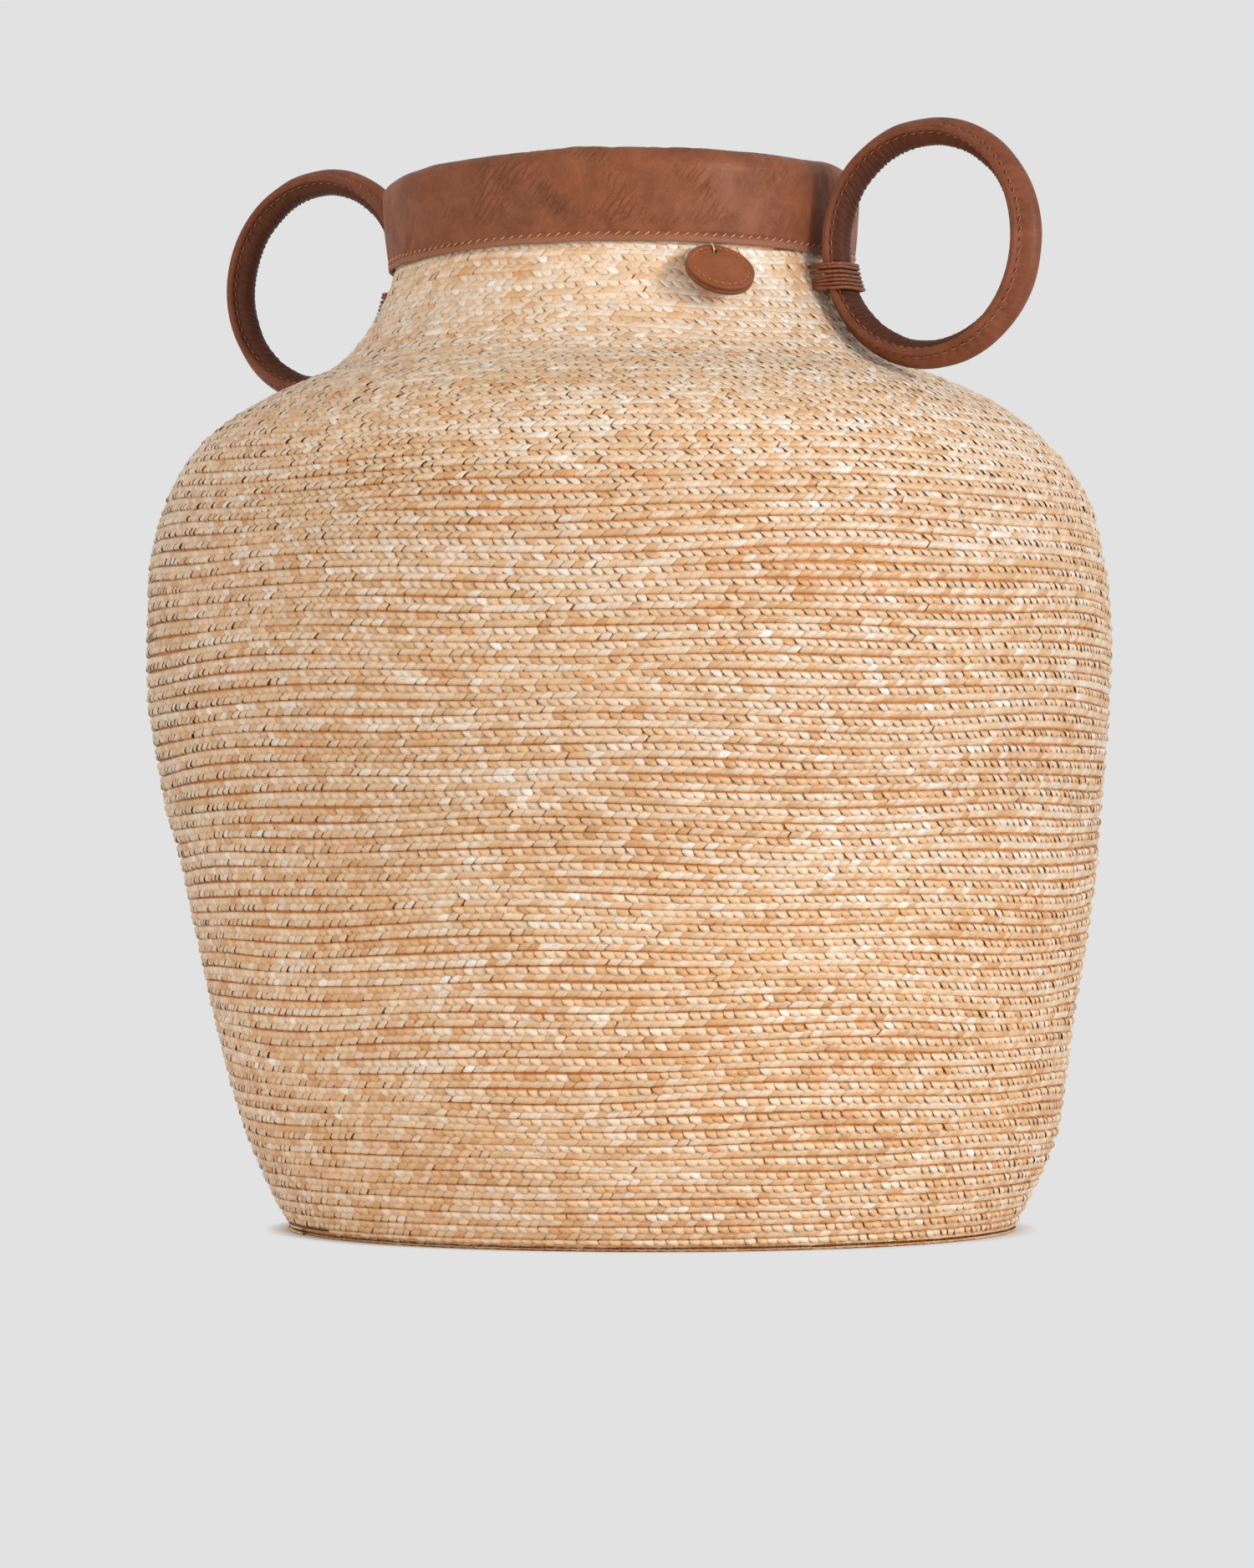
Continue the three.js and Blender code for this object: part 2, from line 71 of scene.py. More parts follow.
LEAN_ANGLE, LEAN_HEADING, LEAN_STOPS = 1.9, 214, 366.0

# Hand-sewn straw isn't quite round: how much fuller the body is on two sides by height, and waves
# round it as (size, how many round the body, radians per mm upwards, phase)
UNEVEN_HEIGHTS = [0, 40, 60, 88, 115, 142, 156, 169, 196, 212, 237, 251, 278, 292, 319, 345]
UNEVEN_LEFT = [-0.7, -0.3, -0.7, -2.0, -2.7, -2.3, -1.0, 1.2, 2.8, 3.6, 1.4, -0.3, -1.7, -2.0, 0, 0]
UNEVEN_RIGHT = [-0.7, 1.4, -0.7, -2.2, -1.8, -2.0, -3.0, -4.0, -3.6, -3.0, -1.5, -1.6, -1.7, -0.4, -1.2, 0]
LEFT_HEADING, RIGHT_HEADING, UNEVEN_WIDTH = -146, 34, 62
LUMPS = [(0.5, 3, 1 / 31, 0.0), (0.45, 5, -1 / 23, 1.3)]

# Plait: one long plait sewn in a spiral
COURSE = 5.7
STRAND, INSIDE_STRAND, MAT_STRAND = 4.3, 5.6, 4.8
STRANDS = 7
PLAIT_INSET = 0.9
SPIRAL_START_HEADING = -115
STRAW_HIDDEN_ABOVE = 397.0
WALL_PARTS = 7
# How a course's top edge wanders and sags: (size, how many in a turn, radians per turn, phase)
WANDER = [(0.42, 1, 0, 0.7), (0.3, 2, 1 / 3, 0), (0.34, 5, 0.8, 0), (0.2, 11, -1.1, 0)]
SAG = [(1.1, 3, 0.14, 2.0), (0.7, 7, -0.17, 0)]
# How far a course's lower edge tips out on the left side, and its upper edge on the right
COURSE_TIP = 0.8
# One strand's bend over the plait's upper and its lower edge, row by row from the top: share of the
# course downwards, left and right side in strand widths, how proud in mm, and its painted shade:
# below 1 painted shade where the bend dives under, above 1 a painted highlight along the top edge
UPPER_BEND = np.array([(-0.03, -0.42, 0.44, -0.90, 0.86), (0.03, -0.54, 0.54, 0.46, 1.14),
                       (0.17, -0.46, 0.65, 0.92, 1.04), (0.35, -0.22, 0.66, 0.90, 1.00),
                       (0.47, 0.04, 0.60, 0.58, 0.96), (0.58, 0.26, 0.50, -0.25, 0.80)])
LOWER_BEND = np.array([(0.28, 0.58, 1.08, -0.25, 0.60), (0.38, 0.44, 1.20, 0.24, 0.85),
                       (0.54, 0.14, 1.24, 0.72, 1.02), (0.74, -0.10, 1.02, 0.84, 1.00),
                       (0.89, -0.18, 0.82, 0.46, 0.94), (0.97, 0.00, 0.64, -0.90, 0.76)])
COARSE_ROWS = [0, 2, 3, 5]
# Across a strand: share of its width, and how far it stands out in mm. A bend over the upper edge
# lies on its left neighbour, and one over the lower edge on its right neighbour
UPPER_SECTION = np.array([(0.0, -0.12), (0.09, 0.24), (0.5, 0.12), (0.86, -0.20), (1.0, -0.70)])
LOWER_SECTION = np.array([(0.0, -0.34), (0.22, -0.02), (0.85, 0.18), (1.0, -0.04)])
INSIDE_SECTION = np.array([(0.0, -0.42), (0.5, 0.05), (1.0, -0.40)])
# How unlike strands are, as (usual, spread): width, height, lift, roll, nod and skew
STRAND_VARIETY = [(1.0, 0.07), (1.0, 0.12), (0, 0.07), (0, 0.2), (0, 0.4), (0, 0.12)]
# From here to there the plait turns into the neck, where strands are wider and longer, bends over
# the lower edge stand out, and all lie flatter
NECK_FROM, NECK_TO = 295, 345
NECK_WIDER, NECK_LONGER, NECK_STANDS_OUT, NECK_FLATTER = 0.06, 0.17, 0.45, 0.32

# Straw tones: colours from 0, orange-brown, to 1, near white; how much of a tone comes from the
# strand's own straw, from a stretch of like straw, from a patch and from chance; and what is added
TONE_COLOURS = [(207, 156, 107), (218, 179, 138), (226, 199, 170), (231, 215, 198), (240, 236, 230)]
OWN_TONE, STRETCH_TONE, PATCH_TONE, LONE_TONE, ADDED_TONE = 0.44, 0.36, 0.06, 0.13, 0.04
# A stretch's chance to end at each bend, and its tone's beta distribution
OWN_STRETCH, COMMON_STRETCH = (0.12, 2.2, 2.6), (0.16, 1.5, 2.2)
PALER_AT_NECK, DEEPER_AT_FOOT = 0.17, 0.03
# How much red, green and blue a bend loses in full painted shade, and how much the straw on the belly is
# darkened, a painted shade
SHADE_TINT = np.array([0.05, 0.82, 1.75])
BELLY_SHADE = np.array([0.085, 0.07, 0.04])
MAP_MARGIN = 0.06
CORE_DEPTH = 1.15
THREAD_STITCH, THREAD_GAP, THREAD_RADIUS = 3.2, 2.4, 0.11
STRAY_ENDS, STRAY_RADIUS = 420, 0.16

# Collar
HEM_HEIGHT, HEM_RADIUS = 391.0, 94.7
HEM_STRIP = 3.6
HEM_STITCHES, HEM_STITCH_RADIUS = 152, 0.25
BULGE_RADIUS = 96.6
ROLL_RADIUS, ROLL_MIDDLE, ROLL_HEIGHT = 8.2, 88.4, 419.8
INNER_HEM_RADIUS = 86.7
COLLAR_LEATHER = 1.4
COLLAR_TILT = 1.6
COLLAR_TURNS = 640
PADDING_ROOM = 0.6
# Where the collar's edges are fuller or lower: (size, heading, width)
HEM_HUMPS = [(-4.3, 15, 42), (-0.8, -150, 30)]
ROLL_HUMPS = [(1.3, -67, 32), (-1.8, 10, 38)]
FLARE_HEADING, FLARE_WIDTH = -94, 26

# Rings
RING_MIDDLE_RADIUS, RING_TUBE_RADIUS = 44.0, 5.5
RIGHT_RING_SPREAD, LEFT_RING_SPREAD = 147.5, 152.5
RING_HEIGHT, RING_LEAN_BACK = 391.6, 2.0
RING_LEATHER = 1.4
RING_TURNS, RING_STITCHES, RING_STITCH_RADIUS = 816, 68, 0.27
FLANGE_REACH, FLANGE_ROOT, FLANGE_HALF, FLANGE_ROUNDING = 8.8, 6.3, 1.55, 1.35

# Lashings: for each turn of the cord, its height at the wall and where it passes the ring's front,
# above the bottom
CORD_RADIUS, CORD_ROOM, CORD_CORNER, CORD_STEPS = 0.7, 0.9, 2.2, 64
LASHING_BOTTOM, LASHING_TOP = 373.0, 387.0
LASHING_PLAN = [(2.6, 2.0), (3.4, 3.6), (4.4, 5.2), (5.3, 6.8), (6.1, 8.4), (10.4, 10.3), (12.0, 12.2)]
WALL_AT_LASHING = 92.0

# Tag
TAG_RADIUS, TAG_THICKNESS = 13.75, 3.8
TAG_HEADING, TAG_SPREAD = -34.4, 46.5
TAG_HOLE_INSET, TAG_HOLE_RADIUS = 4.2, 1.1
TAG_BACK_TOP_HEIGHT, TAG_TOP_CLEARANCE = 387.7, 0.6
TAG_SEAM_RADIUS, TAG_STITCHES, TAG_STITCH_RADIUS = 11.4, 26, 0.24
TAG_THREAD_RADIUS, TAG_THREAD_STEPS = 0.4, 60

# Camera, from the photograph: the place of the basket's foot and of the horizon in its frame
CAMERA_AZIMUTH = 34.0
CAMERA_DISTANCE, CAMERA_HEIGHT = 2330.0, 148.8
FOCAL_PIXELS = 6850.0
FRAME_WIDTH, FRAME_HEIGHT = 1500, 1875
FOOT_PIXEL_X, HORIZON_PIXEL_Y = 780.0, 1030.0
SENSOR = 36.0

# The floor's radii in mm, and the ring, in metres, where its shadow gives way to the backdrop
FLOOR_RADII = [9000.0, 400.0, 10.0]
SHADOW_ENDS = (0.1475, 0.1575)
BACKGROUND = 226
WORLD_LIGHT = 0.42


def linear(value):
    """One sRGB level, from 0 to 255, as linear light."""
    share = value / 255
    return share / 12.92 if share <= 0.04045 else ((share + 0.055) / 1.055) ** 2.4


def colour(*levels):
    return (*map(linear, levels), 1.0)


def smoothstep(low, high, value):
    t = np.clip((value - low) / (high - low), 0, 1)
    return t * t * (3 - 2 * t)


def direction(angle):
    """Unit vectors (..., 2) at angles in degrees."""
    return np.stack([np.cos(np.radians(angle)), np.sin(np.radians(angle))], -1)


def even_angles(count):
    return np.arange(count) * TURN / count


def together(*parts):
    """Arrays or numbers of unlike shapes as the last axis of one array."""
    return np.stack(np.broadcast_arrays(*parts), -1)


def polar(radius, turn, height):
    """Points (..., 3) at a radius, a turn in radians and a height."""
    return together(radius * np.cos(turn), radius * np.sin(turn), height)


def bell(away, width):
    """1 where away is 0, falling to 0 over about a width on both sides."""
    return np.exp(-(away / width) ** 2)


def hump(turn, heading, width):
    """A bell curve round the basket, with its heading and width in degrees."""
    return bell(np.degrees(np.angle(np.exp(1j * (turn - math.radians(heading))))), width)


def humps(turn, table):
    return sum(size * hump(turn, heading, width) for size, heading, width in table)


def ripples(table, turn, along):
    """A sum of sine waves (size, how many in a turn, radians along, phase)."""
    return sum(size * np.sin(many * turn + pitch * along + phase)
               for size, many, pitch, phase in table)


def waves(points, length, seed, count=24):
    """Smooth seeded noise from -1 to 1 at points (..., 3), with features about length across."""
    rng = np.random.default_rng(SEED + seed)
    headings = rng.normal(size=(count, 3))
    headings /= np.linalg.norm(headings, axis=1)[:, None]
    pitches = TURN / (length * rng.uniform(1.2, 3.0, count))
    phases = rng.uniform(0, TURN, count)
    total = np.zeros(points.shape[:-1])
    for heading, pitch, phase in zip(headings, pitches, phases):
        total += np.cos(points @ (heading * pitch) + phase)
    return total / math.sqrt(count) * 0.8


# Lines of points

def lengths_along(line):
    """How far along a line of points each of them is."""
    return np.concatenate([[0], np.cumsum(np.linalg.norm(np.diff(line, axis=0), axis=1))])


def columns_at(places, known, table):
    """Each column of a table, interpolated at places between the known ones."""
    return np.stack([np.interp(places, known, column) for column in table.T], -1)


def even_points(line, count=0, spacing=1.0):
    """Points at even distances along a line, either so many or about so far apart."""
    length = lengths_along(line)
    count = count or round(length[-1] / spacing) + 1
    return columns_at(np.linspace(0, length[-1], count), length, line)


def smoothed(line, reach):
    """A line of points with each one averaged over its neighbours, reach of them on both sides."""
    kernel = np.hanning(2 * reach + 1)
    padded = np.pad(line, ((reach, reach), (0, 0)), mode="edge")
    return np.stack([np.convolve(column, kernel / kernel.sum(), "valid") for column in padded.T], 1)


def line_normals(line):
    slope = np.gradient(line, axis=0)
    slope /= np.linalg.norm(slope, axis=1)[:, None]
    return np.stack([slope[:, 1], -slope[:, 0]], 1)


def arc(centre, radius, start, end, steps):
    return np.array(centre) + radius * direction(np.linspace(start, end, steps))


def bend_between(start, middle, end, steps=40):
    """A quadratic curve (steps, 2) from start to end that leans to the middle point."""
    t = np.linspace(0, 1, steps)[:, None]
    start, middle, end = np.array([start, middle, end], float)
    return (1 - t) ** 2 * start + 2 * (1 - t) * t * middle + t * t * end


def bezier(start, start_slope, start_fullness, end, end_slope, end_fullness, steps):
    t = np.linspace(0, 1, steps)[:, None]
    start, end = np.array(start, float), np.array(end, float)
    first = start + direction(start_slope) * start_fullness
    second = end - direction(end_slope) * end_fullness
    return (1 - t) ** 3 * start + 3 * (1 - t) ** 2 * t * first + 3 * (1 - t) * t * t * second + t ** 3 * end


def rotation(angle, axis):
    return np.array(Matrix.Rotation(math.radians(angle), 3, axis))


# Mesh making

def mesh_object(name, points, faces, material):
    """A new object from points in mm (..., 3) and faces of one size (m, 3 or 4)."""
    points = np.reshape(points, (-1, 3)) * MM
    mesh = bpy.data.meshes.new(name)
    mesh.vertices.add(len(points))
    mesh.vertices.foreach_set("co", points.astype(np.float32).ravel())
    mesh.loops.add(faces.size)
    mesh.loops.foreach_set("vertex_index", faces.astype(np.int32).ravel())
    mesh.polygons.add(len(faces))
    mesh.polygons.foreach_set("loop_start", np.arange(0, faces.size, faces.shape[1], dtype=np.int32))
    mesh.update(calc_edges=True)
    mesh.shade_smooth()
    mesh.materials.append(material)
    piece = bpy.data.objects.new(name, mesh)
    bpy.context.scene.collection.objects.link(piece)
    return piece


def grid_faces(rows, columns, close_rows=False, close_columns=False):
    """Quads of a grid of vertices numbered row by row."""
    row = np.arange(rows if close_rows else rows - 1)
    column = np.arange(columns if close_columns else columns - 1)
    r, c = np.meshgrid(row, column, indexing="ij")
    below, right = (r + 1) % rows, (c + 1) % columns
    quads = [r * columns + c, r * columns + right, below * columns + right, below * columns + c]
    return np.stack(quads, -1).reshape(-1, 4)


def repeat_faces(faces, count, size):
    """The faces of count equal pieces, whose vertices, size of them each, follow one another."""
    return (faces + np.arange(count)[:, None, None] * size).reshape(-1, faces.shape[1])


def round_object(name, points, material, closed=True):
    """An object from points (rows, columns, 3). Rows run round, and so do columns where it is closed."""
    return mesh_object(name, points, grid_faces(*points.shape[:2], closed, True), material)


def tubes(name, routes, radius, sides, material, taper=1.0, move=lambda points: points, winding=1):
    """An object of round tubes along routes (count, steps, 3), with closed ends, which is then moved
    to its place. Its triangles are wound the other way where winding is -1."""
    routes = np.asarray(routes, float)
    count, steps, _ = routes.shape
    along = np.gradient(routes, axis=1)
    along /= np.linalg.norm(along, axis=2, keepdims=True)
    helper = np.where(np.abs(along[..., 2:3]) > 0.9, [1.0, 0, 0], [0, 0, 1.0])
    across = np.cross(helper, along)
    across /= np.linalg.norm(across, axis=2, keepdims=True)
    over = np.cross(along, across)
    turn = even_angles(sides)[:, None]
    width = radius * np.broadcast_to(taper, steps)
    rim = across[:, :, None] * np.cos(turn) + over[:, :, None] * np.sin(turn)
    body = routes[:, :, None] + rim * width[:, None, None]
    points = np.concatenate([body.reshape(count, -1, 3), routes[:, :1], routes[:, -1:]], axis=1)
    side = grid_faces(steps, sides, close_columns=True)
    k = np.arange(sides)
    after = (k + 1) % sides
    last_rim = (steps - 1) * sides
    first_end, last_end = steps * sides, steps * sides + 1
    one = np.concatenate([side[:, [0, 1, 2]], side[:, [0, 2, 3]], together(first_end, after, k),
                          together(last_end, last_rim + k, last_rim + after)])
    faces = repeat_faces(one, count, steps * sides + 2)
    return mesh_object(name, move(points.reshape(-1, 3)), faces[:, ::winding], material)


def stitch_steps(steps):
    """Places along one stitch from -0.5 to 0.5, and how far it arches, from 0 at its ends to 1."""
    share = np.linspace(-0.5, 0.5, steps)
    return share, 1 - (2 * share) ** 2


STITCH_TAPER = [0.5, 0.85, 1, 1, 1, 0.85, 0.5]
STORED_KINDS = {1: ("FLOAT", "value"), 3: ("FLOAT_VECTOR", "vector"), 4: ("FLOAT_COLOR", "color")}


def store(piece, name, values):
    """Numbers, vectors of 3 or colours of 4 values for each vertex, which the materials read."""
    values = np.asarray(values, np.float32).reshape(len(piece.data.vertices), -1)
    kind, field = STORED_KINDS[values.shape[1]]
    piece.data.attributes.new(name, kind, "POINT").data.foreach_set(field, values.ravel())


def bake_map(piece, places):
    """The UV map that looks are baked to, from a place for each vertex (n, 2)."""
    layer = piece.data.uv_layers.new(name="OFBake")
    corners = np.empty(len(piece.data.loops), np.int32)
    piece.data.loops.foreach_get("vertex_index", corners)
    layer.data.foreach_set("uv", places[corners].astype(np.float32).ravel())


def place(piece, body, slot, *nodes):
    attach(piece, body)
    if nodes:
        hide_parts(*nodes)


# Camera

def link_to_scene(name, data):
    made = bpy.data.objects.new(name, data)
    bpy.context.scene.collection.objects.link(made)
    return made


def make_camera():
    data = bpy.data.cameras.new("camera")
    data.sensor_width = SENSOR
    data.lens = FOCAL_PIXELS / FRAME_HEIGHT * SENSOR
    data.clip_start, data.clip_end = 0.05, 50
    camera = link_to_scene("camera", data)
    yaw = math.atan((FOOT_PIXEL_X - FRAME_WIDTH / 2) / FOCAL_PIXELS)
    pitch = math.atan((HORIZON_PIXEL_Y - FRAME_HEIGHT / 2) / FOCAL_PIXELS)
    back = direction(CAMERA_AZIMUTH - 90) * CAMERA_DISTANCE
    camera.location = Vector((*back, CAMERA_HEIGHT)) * MM
    camera.rotation_euler = (math.pi / 2 + pitch, 0, math.radians(CAMERA_AZIMUTH) + yaw)
    bpy.context.scene.camera = camera


# Nodes

SHADER = "Principled BSDF"


class Nodes:
    """A material's or a world's nodes, with short calls that add and link them. Inputs are set by
    name or number, and are linked where the value is another node's output."""

    def __init__(self, owner):
        owner.use_nodes = True
        self.tree = owner.node_tree

    def fill(self, node, inputs):
        node = self.tree.nodes[node] if isinstance(node, str) else node
        for name, value in inputs.items():
            if isinstance(value, bpy.types.NodeSocket):
                self.tree.links.new(value, node.inputs[name])
            else:
                node.inputs[name].default_value = value
        return node

    def add(self, kind, inputs, **settings):
        node = self.tree.nodes.new(kind)
        for name, value in settings.items():
            setattr(node, name, value)
        return self.fill(node, inputs)

    def spot(self):
        return self.add("ShaderNodeTexCoord", {}).outputs["Object"]

    def stored(self, name, output="Fac"):
        return self.add("ShaderNodeAttribute", {}, attribute_name=name).outputs[output]

    def noise(self, place, scale, detail, roughness, distortion=0.0):
        inputs = {"Vector": place, "Scale": scale, "Detail": detail, "Roughness": roughness,
                  "Distortion": distortion}
        return self.add("ShaderNodeTexNoise", inputs).outputs["Fac"]

    def cells(self, place, scale):
        """Distances to the nearest edge between cells."""
        inputs = {"Vector": place, "Scale": scale}
        return self.add("ShaderNodeTexVoronoi", inputs, feature="DISTANCE_TO_EDGE").outputs["Distance"]

    def ramp(self, value, low, dark, high, light):
        node = self.add("ShaderNodeValToRGB", {"Fac": value})
        for element, position, tone in zip(node.color_ramp.elements, (low, high), (dark, light)):
            element.position, element.color = position, tone
        return node.outputs["Color"]

    def span(self, value, low, high, to_low, to_high):
        inputs = {"Value": value, "From Min": low, "From Max": high, "To Min": to_low, "To Max": to_high}
        return self.add("ShaderNodeMapRange", inputs).outputs["Result"]

    def math(self, kind, a, b):
        return self.add("ShaderNodeMath", {0: a, 1: b}, operation=kind).outputs["Value"]

    def vector(self, kind, a, b):
        return self.add("ShaderNodeVectorMath", {0: a, 1: b}, operation=kind).outputs["Vector"]

    def mix(self, factor, a, b, blend="MIX"):
        inputs = {0: factor, 6: a, 7: b}
        return self.add("ShaderNodeMix", inputs, data_type="RGBA", blend_type=blend).outputs[2]

    def bump(self, height, strength, distance, **under):
        inputs = {"Height": height, "Strength": strength, "Distance": distance, **under}
        return self.add("ShaderNodeBump", inputs).outputs["Normal"]

    def show_backdrop(self, light, backdrop, output, within=1.0):
        """Ends in the backdrop for rays that see it, straight or in gloss and glass, and else in what
        lights the object. Within is where the backdrop shows."""
        rays = self.add("ShaderNodeLightPath", {}).outputs
        seen = self.math("MAXIMUM", rays["Is Camera Ray"], rays["Is Glossy Ray"])
        seen = self.math("MAXIMUM", seen, rays["Is Transmission Ray"])
        factor = self.math("MULTIPLY", within, seen)
        mixed = self.add("ShaderNodeMixShader", {0: factor, 1: light.outputs[0], 2: backdrop.outputs[0]})
        self.fill(output, {"Surface": mixed.outputs[0]})


# Materials

def new_material(name):
    material = bpy.data.materials.new(name)
    return material, Nodes(material)


def darker(tone, share):
    return (*(share * part for part in tone[:3]), 1)


def straw_material():
    """Glossy split straw: each strand's own tone, which carries its bends' painted shade and highlight,
    with fibres along it.
    """
    material, nodes = new_material("straw")
    fibres = nodes.vector("MULTIPLY", nodes.stored("fibre", "Vector"), (2.4, 0.3, 1.0))
    streaks = nodes.noise(fibres, 1.0, detail=3, roughness=0.6)
    shade = nodes.ramp(streaks, 0.3, (0.84, 0.81, 0.76, 1), 0.62, (1.05, 1.06, 1.07, 1))
    nodes.fill(SHADER, {"Base Color": nodes.mix(1.0, nodes.stored("tone", "Color"), shade, "MULTIPLY"),
                        "Roughness": nodes.span(streaks, 0.3, 0.7, 0.42, 0.28),
                        "Specular IOR Level": 0.5, "Normal": nodes.bump(streaks, 0.35, 0.0002)})
    return material


def mottled_material(name, light, dark, roughness, grain, strength, depth):
    """A surface with a fine mottle; grain is its noise's (scale, detail, roughness)."""
    material, nodes = new_material(name)
    mottle = nodes.noise(nodes.spot(), *grain)
    nodes.fill(SHADER, {"Base Color": nodes.ramp(mottle, 0.3, dark, 0.65, light),
                        "Roughness": roughness, "Normal": nodes.bump(mottle, strength, depth)})
    return material


def plain_material(name, tone, roughness, scale, depth):
    """A fibrous or matt surface."""
    return mottled_material(name, tone, darker(tone, 0.72), roughness, (scale, 4, 0.6), 0.5, depth)


def cord_material(name, light, dark, roughness):
    """Waxed cord or thread."""
    return mottled_material(name, light, dark, roughness, (700, 3, 0.65), 0.4, 0.0003)


def leather_material(name, light, dark, edge):
    """Brown leather: cloudy tone, pebbled pores and a net of creases. The mesh stores where its raw
    edge shows, where it is darkened, as painted shade on a ring's hole side and as dye on the tag's
    edge, and where and along which slant it is creased."""
    material, nodes = new_material(name)
    spot = nodes.spot()
    cloud = nodes.noise(spot, 80, detail=6, roughness=0.75, distortion=0.3)
    pores = nodes.noise(spot, 1500, detail=2, roughness=0.6)
    in_pores = nodes.ramp(pores, 0.3, (0.86, 0.86, 0.86, 1), 0.6, (1, 1, 1, 1))
    tone = nodes.mix(1.0, nodes.ramp(cloud, 0.25, dark, 0.75, light), in_pores, "MULTIPLY")
    tone = nodes.mix(nodes.stored("shade_and_dyed_edge"), tone, darker(dark, 0.5))
    fine = nodes.bump(nodes.cells(spot, 1100), 0.55, 0.0002)
    grain = nodes.noise(spot, 320, detail=3, roughness=0.6)
    coarse = nodes.bump(grain, 0.25, 0.0005, Normal=fine)
    slant = nodes.stored("slant", "Vector")
    bent = nodes.vector("ADD", slant, nodes.noise(slant, 1.3, detail=2, roughness=0.6))
    net = nodes.span(nodes.cells(bent, 1.0), 0.0, 0.18, 0.0, 1.0)
    creases = nodes.math("MULTIPLY", net, nodes.stored("creased"))
    relief = nodes.bump(creases, 0.95, 0.0007, Normal=coarse)
    nodes.fill(SHADER, {"Base Color": nodes.mix(nodes.stored("edge"), tone, edge),
                        "Roughness": nodes.span(cloud, 0.3, 0.7, 0.56, 0.44),
                        "Specular IOR Level": 0.2, "Normal": relief})
    return material


STRAW = straw_material()
STRAW_BACKING = plain_material("straw_backing", colour(214, 142, 78), 0.8, 500, 0.0004)
SEWING_THREAD = cord_material("sewing_thread", colour(232, 212, 188), colour(206, 178, 148), 0.5)
LEATHER = leather_material("brown_leather", colour(150, 90, 60), colour(108, 60, 37), colour(158, 108, 84))
RING_LEATHER_FINISH = leather_material("ring_leather", colour(140, 82, 55), colour(98, 52, 34),
                                       colour(126, 77, 54))
# Painted light: the tag's leather is lighter than the collar's, standing in for the extra light on the tag,
# which faces up
LIT_TAG_LEATHER = leather_material("lit_tag_leather", colour(160, 94, 60), colour(128, 71, 43), colour(128, 80, 56))
LASHING_FINISH = cord_material("waxed_cord", colour(150, 84, 46), colour(92, 48, 26), 0.38)
COLLAR_STITCH = cord_material("collar_stitch", colour(224, 160, 118), colour(190, 122, 82), 0.5)
RING_STITCH = cord_material("ring_stitch", colour(176, 112, 84), colour(120, 66, 44), 0.5)
TAG_STITCH = cord_material("tag_stitch", colour(206, 122, 66), colour(170, 90, 46), 0.5)
TAG_THREAD = cord_material("tag_thread", colour(222, 186, 150), colour(190, 150, 112), 0.6)
PADDING = plain_material("padding", colour(225, 218, 205), 0.95, 300, 0.0005)
CANE = plain_material("core_cane", colour(176, 140, 92), 0.7, 400, 0.0003)


# The body's outline

class Outline:
    """The wall's outside by the length along it, which is 0 at the foot."""

    def __init__(self, line, zero):
        self.length = lengths_along(line) - zero
        self.height = line[:, 1]
        self.columns = np.hstack([line, line_normals(line)]).T

    def at(self, along):
        """Radius, height, and how far outwards and upwards the wall faces."""
        return [np.interp(along, self.length, column) for column in self.columns]

    def length_at_height(self, height):
        return float(np.interp(height, self.height, self.length))


def wall_outline():
    """From the edge tucked under the foot up to the top of the neck."""
    tuck = bezier((FOOT[0] - TUCK_WIDTH, TUCK_HEIGHT), 0, TUCK_FULLNESS_BELOW,
                  FOOT, FOOT_FLARE, TUCK_FULLNESS_ABOVE, 16)
    lower = bezier(FOOT, FOOT_FLARE, FOOT_FULLNESS, BELLY, 90, BELLY_FULLNESS_BELOW, 160)
    upper = bezier(BELLY, 90, BELLY_FULLNESS_ABOVE, SHOULDER, 180 - SHOULDER_SLOPE, SHOULDER_FULLNESS, 120)
    neck = bezier(SHOULDER, 180 - SHOULDER_SLOPE, NECK_FULLNESS_BELOW,
                  NECK, 180 - NECK_SLOPE, NECK_FULLNESS_ABOVE, 80)
    return Outline(np.vstack([tuck, lower[1:], upper[1:], neck[1:], [NECK_TOP]]), lengths_along(tuck)[-1])


WALL = wall_outline()


def lean_at(height):
    """How far aside (..., 2) the leaning body is at a height."""
    drift = math.tan(math.radians(LEAN_ANGLE)) * np.minimum(height, LEAN_STOPS)
    return np.multiply.outer(drift, direction(LEAN_HEADING))


NECK_CENTRE = np.array([*lean_at(LEAN_STOPS), 0.0])


def on_wall(turn, along, proud):
    """Points (..., 3) on the leaning wall: turn in radians, length along the outline, and how proud."""
    radius, height, out, up = WALL.at(along)
    lump = ripples(LUMPS, turn, along) * smoothstep(0, 40, along) * smoothstep(400, 330, height)
    for heading, swell in ((LEFT_HEADING, UNEVEN_LEFT), (RIGHT_HEADING, UNEVEN_RIGHT)):
        lump = lump + np.interp(height, UNEVEN_HEIGHTS, swell) * hump(turn, heading, UNEVEN_WIDTH)
    points = polar(radius + (proud + lump) * out, turn, height + (proud + lump) * up)
    points[..., :2] += lean_at(points[..., 2])
    return points


# Straw plait

